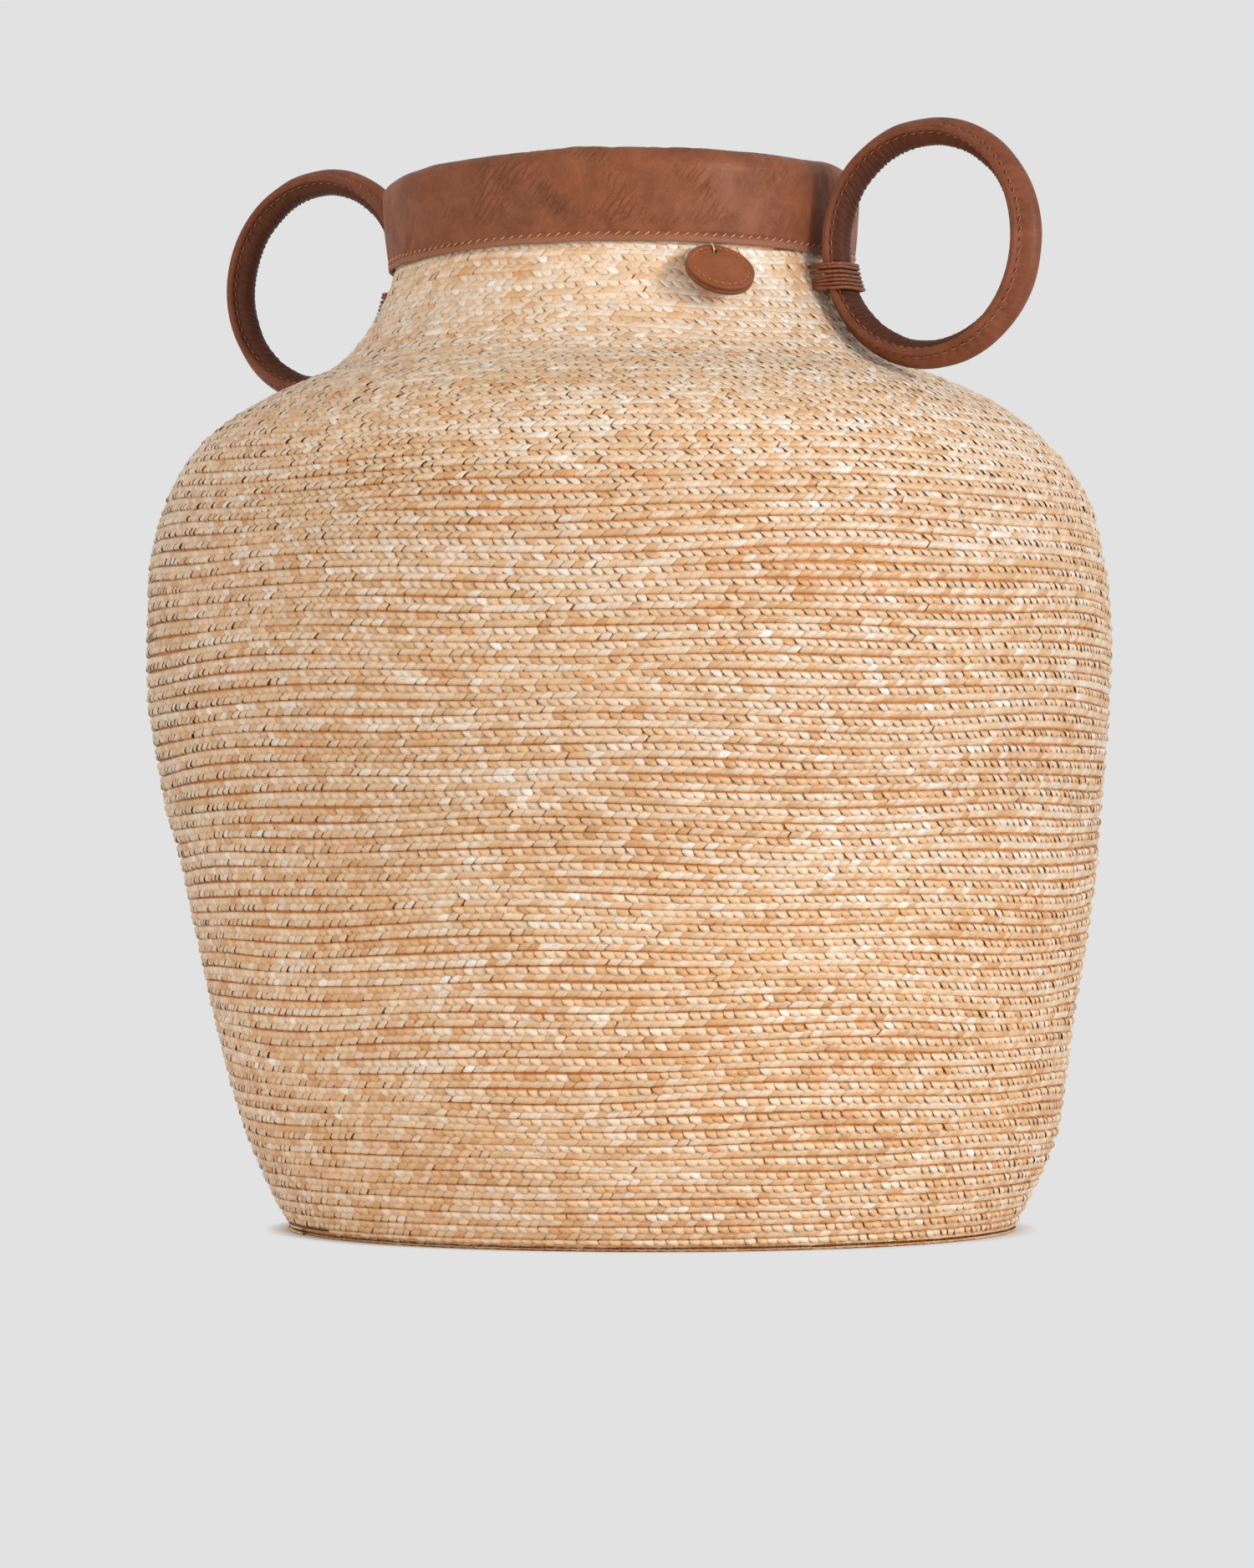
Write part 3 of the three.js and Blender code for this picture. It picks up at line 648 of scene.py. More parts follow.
class Spiral:
    """The plait's path: turns counted from the foot, anticlockwise seen from above."""

    def __init__(self, first, last, samples=6000):
        self.turns = np.linspace(first, last, samples)
        radius = WALL.at(self.top_edge(self.turns) - COURSE / 2)[0]
        step = np.diff(self.turns) * TURN * (radius[1:] + radius[:-1]) / 2
        self.length = np.concatenate([[0], np.cumsum(step)])

    @staticmethod
    def top_edge(turns):
        """Length along the wall's outline of the course's top edge."""
        return (COURSE * (turns + 1) + ripples(WANDER, turns * TURN, turns) * smoothstep(0, 4, turns)
                + ripples(SAG, turns * TURN, turns) * smoothstep(1, 14, turns))

    def turns_at(self, length):
        return np.interp(length, self.length, self.turns)

    def strand_places(self, strand, rng):
        """Lengths along the plait of its strands, which are not all of one width."""
        count = int(self.length[-1] / strand)
        drift = np.cumsum(rng.normal(0, 0.35, count + 40))
        drift = (drift[40:] - drift[:-40]) / 28
        places = (np.arange(count) + drift + rng.normal(0, 0.05, count)) * strand
        return np.clip(places, 0, self.length[-1])


def heading_of(turns):
    return TURN * (turns + 1) + math.radians(SPIRAL_START_HEADING)


def height_of(turns):
    """Height of a course's top edge."""
    return WALL.at(Spiral.top_edge(turns))[1]


def stretches(count, chance, alpha, beta, rng):
    """Tones that stay the same until, by chance, the next stretch begins."""
    number = np.cumsum(rng.random(count) < chance)
    return rng.beta(alpha, beta, number.max() + 1)[number]


def strand_tones(count, row, turns, rng):
    """A tone from 0, orange-brown, to 1, near white, for each strand bend in order along the plait."""
    own = np.zeros(count)
    for strand in range(STRANDS):
        mine = np.flatnonzero((np.arange(count) + 3 * row) % STRANDS == strand)
        own[mine] = stretches(len(mine), *OWN_STRETCH, rng)
    stretch = stretches(count, *COMMON_STRETCH, rng)
    patch = waves(polar(60, heading_of(turns), turns * 3.0), 16, 5)
    alone = rng.normal(0, LONE_TONE, count)
    height = height_of(turns)
    paler = PALER_AT_NECK * smoothstep(240, 395, height) - DEEPER_AT_FOOT * smoothstep(170, 60, height)
    tone = OWN_TONE * own + STRETCH_TONE * stretch + PATCH_TONE * patch + ADDED_TONE + paler + alone
    return np.clip(tone, 0, 1)


def tone_colours(tone, rng):
    """Linear colours (n, 3) of straw for tones from 0 to 1."""
    shades = np.array([colour(*levels)[:3] for levels in TONE_COLOURS])
    mixed = columns_at(tone, np.linspace(0, 1, len(shades)), shades)
    return mixed * (1 + rng.normal(0, 0.035, (len(tone), 1)))


def painted_bend_shade(shade, section):
    """What a bend's colour is multiplied with (rows, columns, 3): painted shade, tinted orange, where it
    dives under, and painted highlight where its row's shade is above 1.
    """
    shade = shade[:, None] - 0.28 * np.maximum(-section[:, 1] - 0.1, 0)
    tint = 1 - (1 - np.minimum(shade, 1))[..., None] * SHADE_TINT
    return tint * np.maximum(shade, 1)[..., None]


def fibre_places(shape, share, strand, drop, rng):
    """Where each vertex lies on its strand, across it and along it, from a random start."""
    across = share * strand + rng.uniform(0, 900, shape[0])[:, None, None]
    return together(across, drop * COURSE, np.zeros(shape))


def bend_columns(bend):
    """The first four columns of a bend's table, for arrays of (strand, row, column)."""
    return (bend[:, i][None, :, None] for i in range(4))


def strand_bends(spiral, spots, row, bend, section, side, rng, strand=STRAND):
    """One row of strand bends along the plait, each a small grid of points.
    Returns points (count, rows, columns, 3), tones, fibre places, a bend's tint of painted shade and
    highlight, and turns."""
    count = len(spots)
    turns = spiral.turns_at(spots)
    radius = np.maximum(WALL.at(Spiral.top_edge(turns) - COURSE / 2)[0], 20)[:, None, None]
    wide, high, lift, roll, nod, skew = (rng.normal(usual, spread, count)[:, None, None]
                                         for usual, spread in STRAND_VARIETY)
    drop, left, right, proud = bend_columns(bend)
    share, fall = section.T
    off_middle = drop - drop.mean()
    neck = smoothstep(NECK_FROM, NECK_TO, height_of(turns))[:, None, None]
    wide = wide + NECK_WIDER * neck
    sideways = (left + (right - left) * (0.5 + (share - 0.5) * wide) + skew * off_middle) * strand
    tip = COURSE_TIP * np.cos(heading_of(turns) - math.radians(LEFT_HEADING))[:, None, None]
    stand = (proud + fall) * high + lift + roll * (share - 0.5) + nod * off_middle + tip * (drop - 0.5)
    stand = stand + NECK_STANDS_OUT * neck * smoothstep(0.5, 0.3, drop) * row
    stand = stand * (1 - NECK_FLATTER * neck)
    turn = turns[:, None, None] + sideways / (TURN * radius)
    along = Spiral.top_edge(turn) - (drop + NECK_LONGER * neck * (drop - 0.5)) * COURSE
    base = -PLAIT_INSET if side > 0 else PLAIT_INSET - WALL_THICKNESS
    points = on_wall(heading_of(turn), along, base + side * stand)
    tone = strand_tones(count, row, turns, rng)
    fibre = fibre_places(turn.shape, share, strand, drop, rng)
    return points, tone, fibre, painted_bend_shade(bend[:, 4], section), turns


def straw_piece(name, groups, side):
    """One object from groups of strand bends (points, colours, fibre places).
    Every bend has a square of its own on the map that its looks are baked to."""
    per_side = math.ceil(math.sqrt(sum(len(bends) for bends, _, _ in groups)))
    faces, places = [], []
    start = done = 0
    for bends, _, _ in groups:
        count, rows, columns, _ = bends.shape
        quads = repeat_faces(grid_faces(rows, columns), count, rows * columns) + start
        faces.append(quads if side < 0 else quads[:, ::-1])
        number = np.arange(count) + done
        corner = together(number % per_side, number // per_side)[:, None, None]
        right, down = np.meshgrid(*(np.linspace(MAP_MARGIN, 1 - MAP_MARGIN, n) for n in (columns, rows)))
        places.append(((corner + np.stack([right, down], -1)) / per_side).reshape(-1, 2))
        start += count * rows * columns
        done += count
    points, colours, fibres = (np.concatenate([part.reshape(-1, 3) for part in parts])
                               for parts in zip(*groups))
    piece = mesh_object(name, points, np.concatenate(faces), STRAW)
    # The stored tone is the straw's colour together with each bend's painted shade and highlight
    store(piece, "tone", np.c_[colours, np.ones(len(colours))])
    store(piece, "fibre", fibres)
    bake_map(piece, np.concatenate(places))
    return piece


def place_straw(name, rows, edges, side, rng):
    """Rows of bends as pieces, split where the plait has made so many turns."""
    for part, (low, high) in enumerate(zip(edges, edges[1:])):
        groups = []
        for points, tone, fibre, tint, turns in rows:
            chosen = (turns >= low) & (turns < high)
            height = height_of(turns[chosen])
            # Painted shade: the straw on the belly is darkened by BELLY_SHADE
            belly = smoothstep(110, 190, height) * smoothstep(325, 285, height)
            colours = tone_colours(tone[chosen], rng) * (1 - belly[:, None] * BELLY_SHADE)
            groups.append((points[chosen], colours[:, None, None] * tint, fibre[chosen]))
        place(straw_piece(f"{name}_{part + 1}", groups, side), "basket", "straw_plait")


def make_straw_wall():
    """The plait's outside and inside, split by height into pieces of a size that exports whole."""
    last = WALL.length_at_height(STRAW_HIDDEN_ABOVE) / COURSE - 1
    spiral = Spiral(-1, last)
    rng = np.random.default_rng(SEED)
    spots = spiral.strand_places(STRAND, rng)
    outside = [strand_bends(spiral, spots, 0, UPPER_BEND, UPPER_SECTION, 1, rng),
               strand_bends(spiral, spots, 1, LOWER_BEND, LOWER_SECTION, 1, rng)]
    inner_edges = np.quantile(outside[0][4], np.linspace(0, 1, WALL_PARTS + 1))[1:-1]
    place_straw("straw_plait", outside, [-np.inf, *inner_edges, np.inf], 1, rng)
    spots = spiral.strand_places(INSIDE_STRAND, rng)
    inside = [strand_bends(spiral, spots, row, bend, INSIDE_SECTION, -1, rng, strand=INSIDE_STRAND)
              for row, bend in enumerate((UPPER_BEND[COARSE_ROWS], LOWER_BEND[COARSE_ROWS]))]
    place_straw("straw_plait_inside", inside, [-np.inf, last / 2, np.inf], -1, rng)
    return spiral


def make_wall_core():
    """The plait's hidden middle, seen only as the dark bottom of its gaps."""
    along = np.linspace(-4.5, WALL.length_at_height(402), 170)
    turn = even_angles(240)
    shallow = smoothstep(285, NECK_TO, WALL.at(along)[1])[:, None]
    outside = on_wall(*np.meshgrid(turn, along), -CORE_DEPTH - PLAIT_INSET * 0.4 + 0.3 * shallow)
    inside = on_wall(*np.meshgrid(turn, along[::-1]), PLAIT_INSET * 0.4 - WALL_THICKNESS + CORE_DEPTH)
    core = round_object("straw_plait_core", np.concatenate([outside, inside]), STRAW_BACKING)
    place(core, "basket", "straw_plait", "plait_wall")


def make_sewing_thread(spiral):
    """The thread that sews each course to the next: short stitches that dip between the strands."""
    rng = np.random.default_rng(SEED + 1)
    pitch, steps = THREAD_STITCH + THREAD_GAP, 5
    count = int(spiral.length[-1] / pitch)
    start = (np.arange(count) + rng.uniform(-0.2, 0.2, count)) * pitch
    reach = rng.normal(THREAD_STITCH, 0.7, count)
    share = np.linspace(0, 1, steps)
    turns = spiral.turns_at(start[:, None] + reach[:, None] * share)
    drop = 0.61 + rng.normal(0, 0.035, count)[:, None] + rng.normal(0, 0.015, (count, steps))
    proud = 0.4 + 2 * share * (1 - share) + rng.normal(0, 0.12, count)[:, None] - PLAIT_INSET
    routes = on_wall(heading_of(turns), Spiral.top_edge(turns) - drop * COURSE, proud)
    place(tubes("plait_sewing_thread", routes, THREAD_RADIUS, 4, SEWING_THREAD), "basket", "thread")


def make_stray_ends():
    """Split ends of straw that stand a little off the plait."""
    rng = np.random.default_rng(SEED + 2)
    count, steps, sides = STRAY_ENDS, 4, 3
    start_along = rng.uniform(4, WALL.length_at_height(385), count)
    start_turn = rng.uniform(0, TURN, count)
    share = np.linspace(0, 1, steps)
    length = rng.uniform(2.5, 6.5, count)
    tilt = rng.choice([-1, 1], count) * rng.uniform(0.2, 0.9, count)
    turn = start_turn[:, None] + share * (length * np.cos(tilt) / WALL.at(start_along)[0])[:, None]
    along = start_along[:, None] - share * (length * np.sin(tilt))[:, None]
    proud = 0.7 - PLAIT_INSET + share ** 2 * rng.uniform(0.2, 1.3, count)[:, None]
    ends = tubes("straw_stray_ends", on_wall(turn, along, proud), STRAY_RADIUS, sides, STRAW,
                 [1, 1, 0.8, 0.3])
    tone = np.repeat(rng.uniform(0.5, 1.0, count), steps * sides + 2)
    store(ends, "tone", np.c_[tone_colours(tone, rng), np.ones(len(tone))])
    place(ends, "basket", "straw_plait")


def make_base():
    """The flat mat under the basket: the same plait wound flat, seen from inside and from below."""
    rng = np.random.default_rng(SEED + 3)
    groups = []
    samples = np.linspace(0.35, (BASE_RADIUS - 1.2) / COURSE, 4000)
    length = np.concatenate([[0], np.cumsum(np.diff(samples) * TURN * samples[1:] * COURSE)])
    count = int(length[-1] / MAT_STRAND)
    turns = np.interp(np.arange(count) * MAT_STRAND, length, samples)
    radius = (turns * COURSE)[:, None, None]
    share, fall = INSIDE_SECTION.T
    for face, height in ((1, BASE_THICKNESS - 0.5), (-1, 0.62)):
        for row, bend in enumerate((UPPER_BEND[COARSE_ROWS], LOWER_BEND[COARSE_ROWS])):
            drop, left, right, proud = bend_columns(bend)
            sideways = (left + (right - left) * share) * MAT_STRAND
            angle = TURN * turns[:, None, None] + sideways / np.maximum(radius, 4)
            out = np.minimum(radius + (1 - drop) * COURSE, BASE_RADIUS)
            high = 0.45 * (proud + fall) + rng.normal(0, 0.04, count)[:, None, None]
            bends = polar(out, angle, height + face * high)[:, :, ::face]
            fibre = fibre_places(angle.shape, share, MAT_STRAND, drop, rng)
            tone = strand_tones(count, row, turns, rng)
            # Each bend's colour carries painted shade and highlight on its rows and dipping sides
            colours = tone_colours(tone, rng)[:, None, None] * painted_bend_shade(bend[:, 4], INSIDE_SECTION)
            groups.append((bends, colours, fibre))
    place(straw_piece("base_mat", groups, 1), "basket", "straw_plait", "plait_base")
    edge = BASE_RADIUS - 2.2
    line = np.array([(0.02, 1.0), (edge - 0.8, 1.0), (edge, 1.6), (edge - 0.8, 2.2), (0.02, 2.2)])
    core = round_object("base_mat_core", polar(line[:, :1], even_angles(120), line[:, 1:]), STRAW_BACKING,
                        closed=False)
    place(core, "basket", "straw_plait")


# Collar

def collar_outside():
    """From the outer hem over the roll to the inner hem, as (radius, height)."""
    stitch = HEM_HEIGHT + HEM_STRIP
    bulge_height = (stitch + ROLL_HEIGHT) / 2
    inner = ROLL_MIDDLE - ROLL_RADIUS
    hem = [(HEM_RADIUS, HEM_HEIGHT + 0.5), (HEM_RADIUS + 0.15, HEM_HEIGHT + 1.6)]
    rise = bend_between((HEM_RADIUS + 0.1, stitch), (BULGE_RADIUS, bulge_height),
                        (BULGE_RADIUS, ROLL_HEIGHT))
    roll = arc((ROLL_MIDDLE, ROLL_HEIGHT), ROLL_RADIUS, 0, 180, 40)
    fall = bend_between((inner, ROLL_HEIGHT), (inner, bulge_height), (INNER_HEM_RADIUS, stitch))
    return np.vstack([hem, rise, roll[1:], fall[1:], [(INNER_HEM_RADIUS, HEM_HEIGHT + 0.4)]])


def tilt_collar(points):
    """The collar sits a little lower on the side that the body leans to."""
    tilt = rotation(COLLAR_TILT, Vector((*direction(LEAN_HEADING + 90), 0)))
    hem = np.array([0, 0, HEM_HEIGHT])
    return (points - hem) @ tilt.T + hem + NECK_CENTRE


def hem_wave(turn):
    """The hem's height wanders round the neck, lowest beside the right ring."""
    return 0.3 * np.sin(5 * turn + 2.0) + humps(turn, HEM_HUMPS)


def collar_wave(height, turn):
    """How far the collar is raised: by the hem's wave below, and above by the roll's, which is fuller
    at the front and flatter beside the right ring."""
    low = smoothstep(18, 0, height - HEM_HEIGHT)
    return low * hem_wave(turn) + (1 - low) * (humps(turn, ROLL_HUMPS) + 0.15 * np.sin(9 * turn))


def collar_relief(turn, line, spots):
    """How far the collar's leather stands out from its plain form, in mm."""
    height = line[:, 1:] - HEM_HEIGHT
    outer = (np.arange(len(line)) < len(line) * 0.62)[:, None]
    around = turn * HEM_RADIUS
    soft = waves(spots * [1, 1, 0.8], 18, 11)
    groove = bell(height - HEM_STRIP, 0.5) * outer
    above = smoothstep(HEM_STRIP, HEM_STRIP + 1.2, height) * np.exp(-(height - HEM_STRIP) / 7.0) * outer
    bent = around - height * 0.5 + 2.2 * waves(spots, 12, 15)
    puckers = 1 - 2 * np.abs(np.sin(bent / 3.1)) ** 0.7
    puckers = puckers * (0.3 + 0.7 * smoothstep(-0.3, 0.9, waves(spots * [1, 1, 0.2], 22, 12)))
    slanted = together(around - height * 0.8, height * 0.42, 0.0)
    folds = waves(slanted, 7.5, 13)
    creases = np.maximum(0, 1 - np.abs(waves(slanted * [1, 1.6, 1], 4.6, 16)) * 4.2)
    high = smoothstep(6, 24, height) * (0.35 + 0.65 * hump(turn, -66, 26))
    high = high * (1 - 0.5 * smoothstep(23, 32, height))
    patches = smoothstep(-0.2, 0.9, waves(spots, 26, 14)) * smoothstep(4, 12, height)
    return (0.4 * soft - 0.6 * groove + 0.5 * above * puckers
            + 0.36 * folds * (0.35 * patches + high) - 0.34 * creases * (0.4 * patches + high))


def make_collar_cover():
    line = even_points(collar_outside(), spacing=0.55)
    normals = line_normals(line)
    turn = even_angles(COLLAR_TURNS)
    half = len(line) // 2
    relief = collar_relief(turn, line, polar(line[:, :1], turn, line[:, 1:]))
    flare = 1.2 * hump(turn, FLARE_HEADING, FLARE_WIDTH) * smoothstep(6, 0, line[:, 1:] - HEM_HEIGHT)
    flare = flare * (np.arange(len(line)) < len(line) / 2)[:, None]
    wave = collar_wave(line[:, 1:], turn)
    outer, lining = (np.stack([line[:, :1] + normals[:, :1] * proud + flare,
                               line[:, 1:] + normals[:, 1:] * proud + wave])
                     for proud in (relief, -COLLAR_LEATHER))
    radius, height = np.concatenate([outer, lining[:, ::-1]], axis=1)
    cover = round_object("collar_cover", tilt_collar(polar(radius, turn, height)), LEATHER)
    raw = np.zeros(len(radius))
    raw[:half] = 0.5 * smoothstep(HEM_STRIP, HEM_STRIP - 0.7, line[:half, 1] - HEM_HEIGHT)
    store(cover, "edge", np.repeat(raw, COLLAR_TURNS))
    around, rise = turn * HEM_RADIUS, height - HEM_HEIGHT
    store(cover, "slant", together(0.3 * (around - 0.7 * rise), 0.085 * (rise + 0.3 * around), 0.0))
    creased = smoothstep(3, 12, rise) * (0.3 + 0.7 * hump(turn, -62, 34))
    store(cover, "creased", creased * smoothstep(-0.6, 0.9, waves(together(around, rise, 0.0), 13, 17)))
    place(cover, "basket", "brown_leather", "collar_leather")


def make_collar_stitches():
    share, lift = stitch_steps(7)
    angle = even_angles(HEM_STITCHES)[:, None] + share * TURN / HEM_STITCHES * 0.56
    radius = HEM_RADIUS + 0.05 + 0.34 * lift + 0.35 * hump(angle, FLARE_HEADING, FLARE_WIDTH)
    height = HEM_HEIGHT + HEM_STRIP + share * 1.4 + 0.9 * hem_wave(angle)
    place(tubes("collar_stitches", polar(radius, angle, height), HEM_STITCH_RADIUS, 7, COLLAR_STITCH,
                STITCH_TAPER, tilt_collar), "basket", "thread")


def make_collar_padding():
    room = ROLL_RADIUS - COLLAR_LEATHER - PADDING_ROOM
    line = np.vstack([arc((ROLL_MIDDLE, ROLL_HEIGHT), room, -20, 200, 26),
                      arc((ROLL_MIDDLE, ROLL_HEIGHT - 6.5), room - 0.8, 200, 340, 12)])
    turn = even_angles(COLLAR_TURNS // 4)
    points = polar(line[:, :1], turn, line[:, 1:] + collar_wave(line[:, 1:], turn))
    pad = round_object("collar_padding", tilt_collar(points), PADDING)
    place(pad, "basket", "padding", "collar_pad")


# Rings

def ring_outside():
    """The cover's outside: from one edge of the flange round the tube to the other edge.
    Points are (out from the ring's middle circle, towards the front)."""
    around = arc((0, 0), RING_TUBE_RADIUS + 0.1, 122, 418, 60)
    shoulder = (arc((0, 0), 1, 0, 87, 9) * [FLANGE_HALF, FLANGE_ROUNDING]
                + [0, FLANGE_REACH - FLANGE_ROUNDING])
    rise = [(FLANGE_HALF + 0.35, FLANGE_ROOT - 1.0), (FLANGE_HALF, FLANGE_ROOT + 0.1),
            (FLANGE_HALF, FLANGE_ROOT + 0.7)]
    end = np.vstack([rise, shoulder, [(0.04, FLANGE_REACH - 0.05)]])
    return np.vstack([end[::-1] * [-1, 1], around, end])


def ring_relief(turn, line):
    """Fine gathers on the leather that faces the ring's hole, and a nearly smooth outside."""
    out, front = line[:, :1], line[:, 1:]
    tube = smoothstep(7.0, 4.6, front)
    hole_side = smoothstep(1.2, -2.6, out) * tube
    skew = turn * RING_MIDDLE_RADIUS + front * 0.55
    spots = polar(RING_MIDDLE_RADIUS, turn, front * 1.2 + out)
    strength = 0.35 + 0.65 * smoothstep(-0.8, 0.8, waves(spots, 14, 21))
    wander = 1.6 * waves(spots, 9, 22)
    gathers = (np.sin((skew + wander) * TURN / 2.5)
               + 0.6 * np.sin((skew * 1.07 + wander * 0.7) * TURN / 1.75))
    soft = waves(spots, 9, 23)
    at_seam = bell(front - FLANGE_ROOT + 0.5, 1.5)
    puckers = np.abs(np.sin(turn * RING_STITCHES / 2 + np.pi / 2 + 0.25 * soft))
    groove = bell(front - FLANGE_ROOT, 0.5)
    return (0.22 * gathers * strength * hole_side + 0.16 * soft * tube + at_seam * (0.5 * puckers - 0.3)
            - 0.22 * groove)


def ring_spread(side):
    return RIGHT_RING_SPREAD if side > 0 else LEFT_RING_SPREAD


def place_ring(points, side):
    """From the ring's own frame, with its axis along the front, to its place beside the neck."""
    middle = NECK_CENTRE + [side * ring_spread(side), 0, RING_HEIGHT]
    return points @ rotation(-RING_LEAN_BACK, "X").T + middle


def ring_points(turn, out, front, side):
    """Points of the ring at turns from +X towards +Z; the flange drifts out and in, as sewn by hand."""
    drift = 0.45 * (1 + np.sin(turn))
    uneven = 0.0
    if side > 0:
        drift = drift - 2.3 * hump(turn, 0, 55)
        uneven = humps(turn, [(1.6, 138, 38), (-1.0, 25, 45)])
    radius = RING_MIDDLE_RADIUS + out + uneven + drift * smoothstep(3.0, 7.5, front)
    return together(radius * np.cos(turn), -front, radius * np.sin(turn))


def pinch(turn, side):
    """How much the lashing draws the tube in, from 0 to 1, by the turn round the ring."""
    height = RING_MIDDLE_RADIUS * np.sin(turn) - (LASHING_BOTTOM + LASHING_TOP) / 2 + RING_HEIGHT
    return np.exp(-(height / 5.5) ** 4) * (side * np.cos(turn) < 0)


def make_ring(side_name, side):
    line = even_points(ring_outside(), spacing=0.5)
    normals = line_normals(line)
    turn = even_angles(RING_TURNS)
    drawn_in = 0.35 * pinch(turn, side) * smoothstep(7, 4, line[:, 1:])
    relief = ring_relief(turn, line) - drawn_in
    lining = (line - normals * (RING_LEATHER - 0.02))[::-1]
    out, front = (np.concatenate([line[:, i:i + 1] + normals[:, i:i + 1] * relief,
                                  lining[:, i:i + 1] + 0 * turn]) for i in range(2))
    cover = round_object(f"{side_name}_ring_cover", place_ring(ring_points(turn, out, front, side), side),
                         RING_LEATHER_FINISH)
    raw, shade_and_dyed_edge = np.zeros((2, len(out)))
    raw[[0, len(line) - 1, len(line), len(out) - 1]] = 0.9
    store(cover, "edge", np.repeat(raw, RING_TURNS))
    # Painted shade: the tube's side that faces the hole is darkened
    shade_and_dyed_edge[:len(line)] = 0.75 * smoothstep(0.5, -3.0, line[:, 0]) * smoothstep(7.5, 5.5, line[:, 1])
    store(cover, "shade_and_dyed_edge", np.repeat(shade_and_dyed_edge, RING_TURNS))
    place(cover, f"{side_name}_ring", "brown_leather", f"{side_name}_ring_leather")

    share, lift = stitch_steps(7)
    pitch = TURN / RING_STITCHES
    angle = (even_angles(RING_STITCHES) + pitch / 2)[:, None] + share * pitch * 0.62
    routes = [ring_points(angle, face * (FLANGE_HALF + 0.02 + 0.28 * lift),
                          FLANGE_ROOT - 0.15 - slant * share * 2, side)
              for face, slant in ((-1, 0.12), (1, 0.5))]
    place(tubes(f"{side_name}_ring_stitches", np.concatenate(routes), RING_STITCH_RADIUS, 7, RING_STITCH,
                STITCH_TAPER, lambda points: place_ring(points, side)), f"{side_name}_ring", "thread")
    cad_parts[f"{side_name}_ring_core"].data.materials[0] = CANE


# Lashings

def rounded_loop(near, far, front, back, corner, steps):
    """Plan of one turn: a rounded rectangle from the middle of its wall side, as even steps."""
    corners = [(near + corner, back - corner, 180), (far - corner, back - corner, 90),
               (far - corner, front + corner, 0), (near + corner, front + corner, -90)]
    arcs = [arc((x, y), corner, heading, heading - 90, 6) for x, y, heading in corners]
    return even_points(np.vstack([[(near, 0.0)], *arcs, [(near, 0.0)]]), steps + 1)[:-1]


def make_lashing(side_name, side):
    """One waxed cord: seven turns round the ring and through the wall, drawn together at the wall."""
    inside_wall = WALL.at(WALL.length_at_height(380))[0] - WALL_THICKNESS - 1.9
    share = np.arange(CORD_STEPS) / CORD_STEPS
    route = []
    following = LASHING_PLAN[1:] + LASHING_PLAN[-1:]
    for (at_wall, at_ring), (next_wall, next_ring) in zip(LASHING_PLAN, following):
        drop = LASHING_BOTTOM + at_ring - RING_HEIGHT
        hole = ring_spread(side) - math.sqrt((RING_MIDDLE_RADIUS - RING_TUBE_RADIUS) ** 2 - drop ** 2)
        drift = drop * math.sin(math.radians(RING_LEAN_BACK))
        x, y = rounded_loop(inside_wall, hole + CORD_ROOM, drift - FLANGE_REACH - CORD_ROOM,
                            drift + RING_TUBE_RADIUS + CORD_ROOM, CORD_CORNER, CORD_STEPS).T
        reach = smoothstep(inside_wall + 4, hole - 4, x)
        y = y * np.interp(x, [WALL_AT_LASHING, WALL_AT_LASHING + 10], [0.38, 1])
        wall_height = at_wall + (next_wall - at_wall) * share
        ring_height = at_ring + (next_ring - at_ring) * smoothstep(0.0, 0.45, share) * 0.35
        route.append(together(x, y, LASHING_BOTTOM + wall_height * (1 - reach) + ring_height * reach))
    route = smoothed(np.concatenate(route), 3) * [side, 1, 1] + NECK_CENTRE
    cord = tubes(f"{side_name}_ring_lashing", [route], CORD_RADIUS, 10, LASHING_FINISH, winding=side)
    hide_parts(f"{side_name}_lashing")
    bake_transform(cord)


# Tag

def tag_frame():
    """The tag's place: its back's middle, its directions across, up and facing, and away from the neck."""
    away = np.array([*direction(TAG_HEADING), 0.0])
    level, rise = direction(TAG_SPREAD)
    down, facing = away * rise - [0, 0, level], away * level + [0, 0, rise]
    radius = WALL.at(WALL.length_at_height(TAG_BACK_TOP_HEIGHT))[0] + TAG_TOP_CLEARANCE
    top = NECK_CENTRE + away * radius + [0, 0, TAG_BACK_TOP_HEIGHT]
    return top + down * TAG_RADIUS, np.stack([np.cross(-down, facing), -down, facing]), away


TAG_MIDDLE, TAG_AXES, TAG_AWAY = tag_frame()


def on_tag(local):
    """From (across, up, facing) to the tag's place."""
    return TAG_MIDDLE + local @ TAG_AXES


def tag_round(name, low, high, front):
    """One leather round with softened edges; the front one has a pressed stitch groove."""
    rings = np.concatenate([np.linspace(0.02, 10.4, 18), np.linspace(10.8, 12.6, 8),
                            np.linspace(12.8, 13.35, 5)])
    edge = arc((TAG_RADIUS - 0.45, high - 0.45), 0.45, 80, 0, 5)
    side = [(TAG_RADIUS, low + 0.5), (TAG_RADIUS - 0.12, low + 0.12)]
    line = np.vstack([together(rings, high), edge, side, together(rings[::-3], low)])
    radius, lift = line[:, :1], line[:, 1:]
    turn = even_angles(120)
    if front:
        groove = 0.22 * bell(radius - TAG_SEAM_RADIUS, 0.5)
        soft = 0.06 * waves(polar(radius, turn, 0.0), 6, 31)
        lift = lift + (soft - groove) * (np.arange(len(line)) < len(rings))[:, None]
    return round_object(name, polar(radius, turn, lift), LIT_TAG_LEATHER, closed=False)


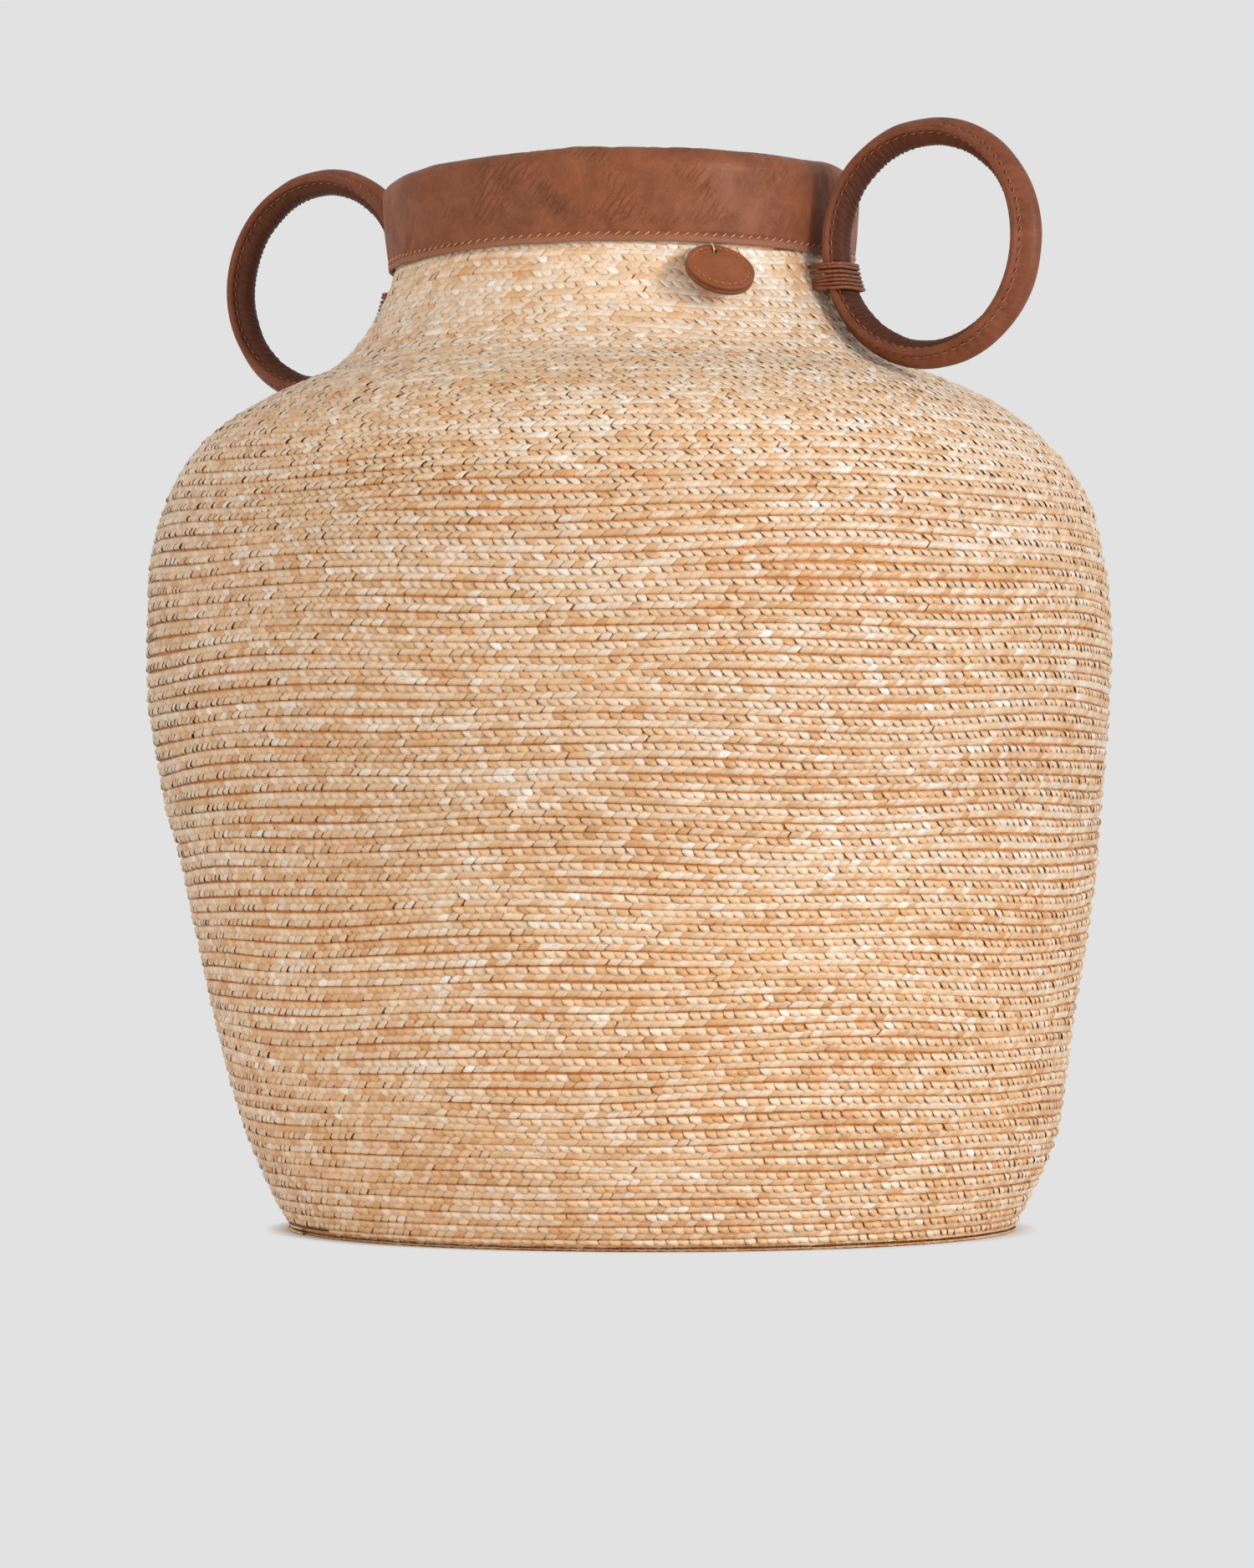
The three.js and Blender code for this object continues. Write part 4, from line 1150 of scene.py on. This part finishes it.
def drill(piece, y, radius):
    """A round hole through a piece along its own Z."""
    cutter = tubes("cutter", [[(0, y, -5), (0, y, 9)]], radius, 24, LIT_TAG_LEATHER)
    cut = piece.modifiers.new("hole", "BOOLEAN")
    cut.operation, cut.solver, cut.object = "DIFFERENCE", "EXACT", cutter
    bpy.context.view_layer.update()
    made = bpy.data.meshes.new_from_object(piece.evaluated_get(bpy.context.evaluated_depsgraph_get()))
    piece.modifiers.clear()
    piece.data = made
    bpy.data.objects.remove(cutter)


def make_tag_rounds():
    half = (TAG_THICKNESS - 0.3) / 2
    for name, node, low, high, front in (("tag_back_round", "tag_back", 0.0, half, False),
                                         ("tag_front_round", "tag_front", half + 0.1, TAG_THICKNESS, True)):
        piece = tag_round(name, low, high, front)
        drill(piece, TAG_RADIUS - TAG_HOLE_INSET, TAG_HOLE_RADIUS)
        points = np.empty(len(piece.data.vertices) * 3, np.float32)
        piece.data.vertices.foreach_get("co", points)
        local = points.reshape(-1, 3) / MM
        piece.data.vertices.foreach_set("co", (on_tag(local) * MM).astype(np.float32).ravel())
        piece.data.update()
        piece.data.shade_smooth()
        spread, lift = np.hypot(local[:, 0], local[:, 1]), local[:, 2]
        raw = smoothstep(12.7, 13.3, spread) * smoothstep(high - 0.7, high, lift)
        store(piece, "edge", 0.55 * raw * front)
        # The round's outer side is darkened: a dyed edge
        rim = smoothstep(13.4, 13.6, spread) * smoothstep(high - 0.2, high - 0.6, lift)
        store(piece, "shade_and_dyed_edge", 0.7 * rim)
        place(piece, "tag", "brown_leather", node)


def make_tag_stitches():
    rng = np.random.default_rng(SEED + 32)
    share, arch = stitch_steps(6)
    angle = even_angles(TAG_STITCHES) + 0.12
    angle = angle[np.abs(np.angle(np.exp(1j * (angle - np.pi / 2)))) > 0.14]
    reach = rng.uniform(0.42, 0.66, len(angle))
    turn = angle[:, None] + share * reach[:, None] * TURN / TAG_STITCHES
    radius = TAG_SEAM_RADIUS + rng.normal(0, 0.08, len(angle))[:, None] + 0.3 * share
    routes = polar(radius, turn, TAG_THICKNESS - 0.16 + 0.24 * arch)
    place(tubes("tag_stitches", routes, TAG_STITCH_RADIUS, 7, TAG_STITCH, [0.5, 0.9, 1, 1, 0.9, 0.5],
                on_tag), "tag", "thread")


def make_tag_thread():
    """One stitch of thread: from under the hem over the tag's top edge and through its hole."""
    hole = TAG_RADIUS - TAG_HOLE_INSET
    start = NECK_CENTRE + TAG_AWAY * (NECK[0] + 0.5) + [0, 0, 390.6]
    up = [*(TAG_RADIUS + np.array([0.55, 0.1, -1.6])), *(hole + np.array([0.9, 0.35, 0.3, 0.3]))]
    facing = [*(TAG_THICKNESS + np.array([-0.6, 0.42, 0.5, 0.45, -0.1])), 1.0, -0.6]
    knots = np.vstack([start, start + TAG_AWAY * 1.1 - [0, 0, 0.3], on_tag(together(0, up, facing))])
    route = smoothed(even_points(knots, TAG_THREAD_STEPS), 4)
    thread = tubes("tag_thread", [route], TAG_THREAD_RADIUS, 8, TAG_THREAD)
    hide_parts("tag_loop")
    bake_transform(thread)


# Floor, backdrop and light

def make_floor():
    """A pale floor that shows the basket's shadow only close to its foot, as in the photograph."""
    material, nodes = new_material("floor")
    shaded = nodes.fill(SHADER, {"Base Color": (0.92, 0.91, 0.90, 1), "Roughness": 0.9,
                                 "Specular IOR Level": 0.0})
    glow = nodes.add("ShaderNodeEmission", {"Color": colour(BACKGROUND, BACKGROUND, BACKGROUND)})
    away = nodes.add("ShaderNodeVectorMath", {0: nodes.spot()}, operation="LENGTH").outputs["Value"]
    nodes.show_backdrop(shaded, glow, "Material Output", within=nodes.span(away, *SHADOW_ENDS, 0.0, 1.0))
    radii = np.array(FLOOR_RADII)[:, None]
    round_object("floor", polar(radii, even_angles(96), 0.0), material, closed=False)


def make_world():
    world = bpy.data.worlds.new("world")
    bpy.context.scene.world = world
    nodes = Nodes(world)
    light = nodes.fill("Background", {"Color": (1, 1, 1, 1), "Strength": WORLD_LIGHT})
    backdrop = nodes.add("ShaderNodeBackground", {"Color": colour(BACKGROUND, BACKGROUND, BACKGROUND)})
    nodes.show_backdrop(light, backdrop, "World Output")


def make_lamp(name, right, up, distance, size, power, tint=(1, 1, 1), aim=(0, 0, 0.2)):
    """An area lamp at angles right of and above the camera's view, in metres and watts."""
    data = bpy.data.lights.new(name, "AREA")
    data.shape, data.size, data.energy, data.color = "SQUARE", size, power, tint
    lamp = link_to_scene(name, data)
    level, rise = direction(up)
    away = Vector((*(direction(CAMERA_AZIMUTH + right - 90) * level), rise))
    lamp.location = Vector(aim) + away * distance
    lamp.rotation_euler = away.to_track_quat("Z", "Y").to_euler()


make_camera()
make_floor()
make_world()
make_lamp("key", right=53, up=16, distance=2.6, size=0.8, power=37)
make_lamp("fill", right=-50, up=13, distance=2.6, size=1.6, power=26, tint=(1, 0.90, 0.76))
make_lamp("low", right=25, up=2, distance=1.6, size=1.0, power=6, aim=(0, 0, 0.0))
wall_spiral = make_straw_wall()
make_wall_core()
make_sewing_thread(wall_spiral)
make_stray_ends()
make_base()
make_collar_cover()
make_collar_stitches()
make_collar_padding()
for ring_side, sign in (("right", 1), ("left", -1)):
    make_ring(ring_side, sign)
    make_lashing(ring_side, sign)
make_tag_rounds()
make_tag_stitches()
make_tag_thread()

bpy.context.scene.view_settings.view_transform = "Standard"
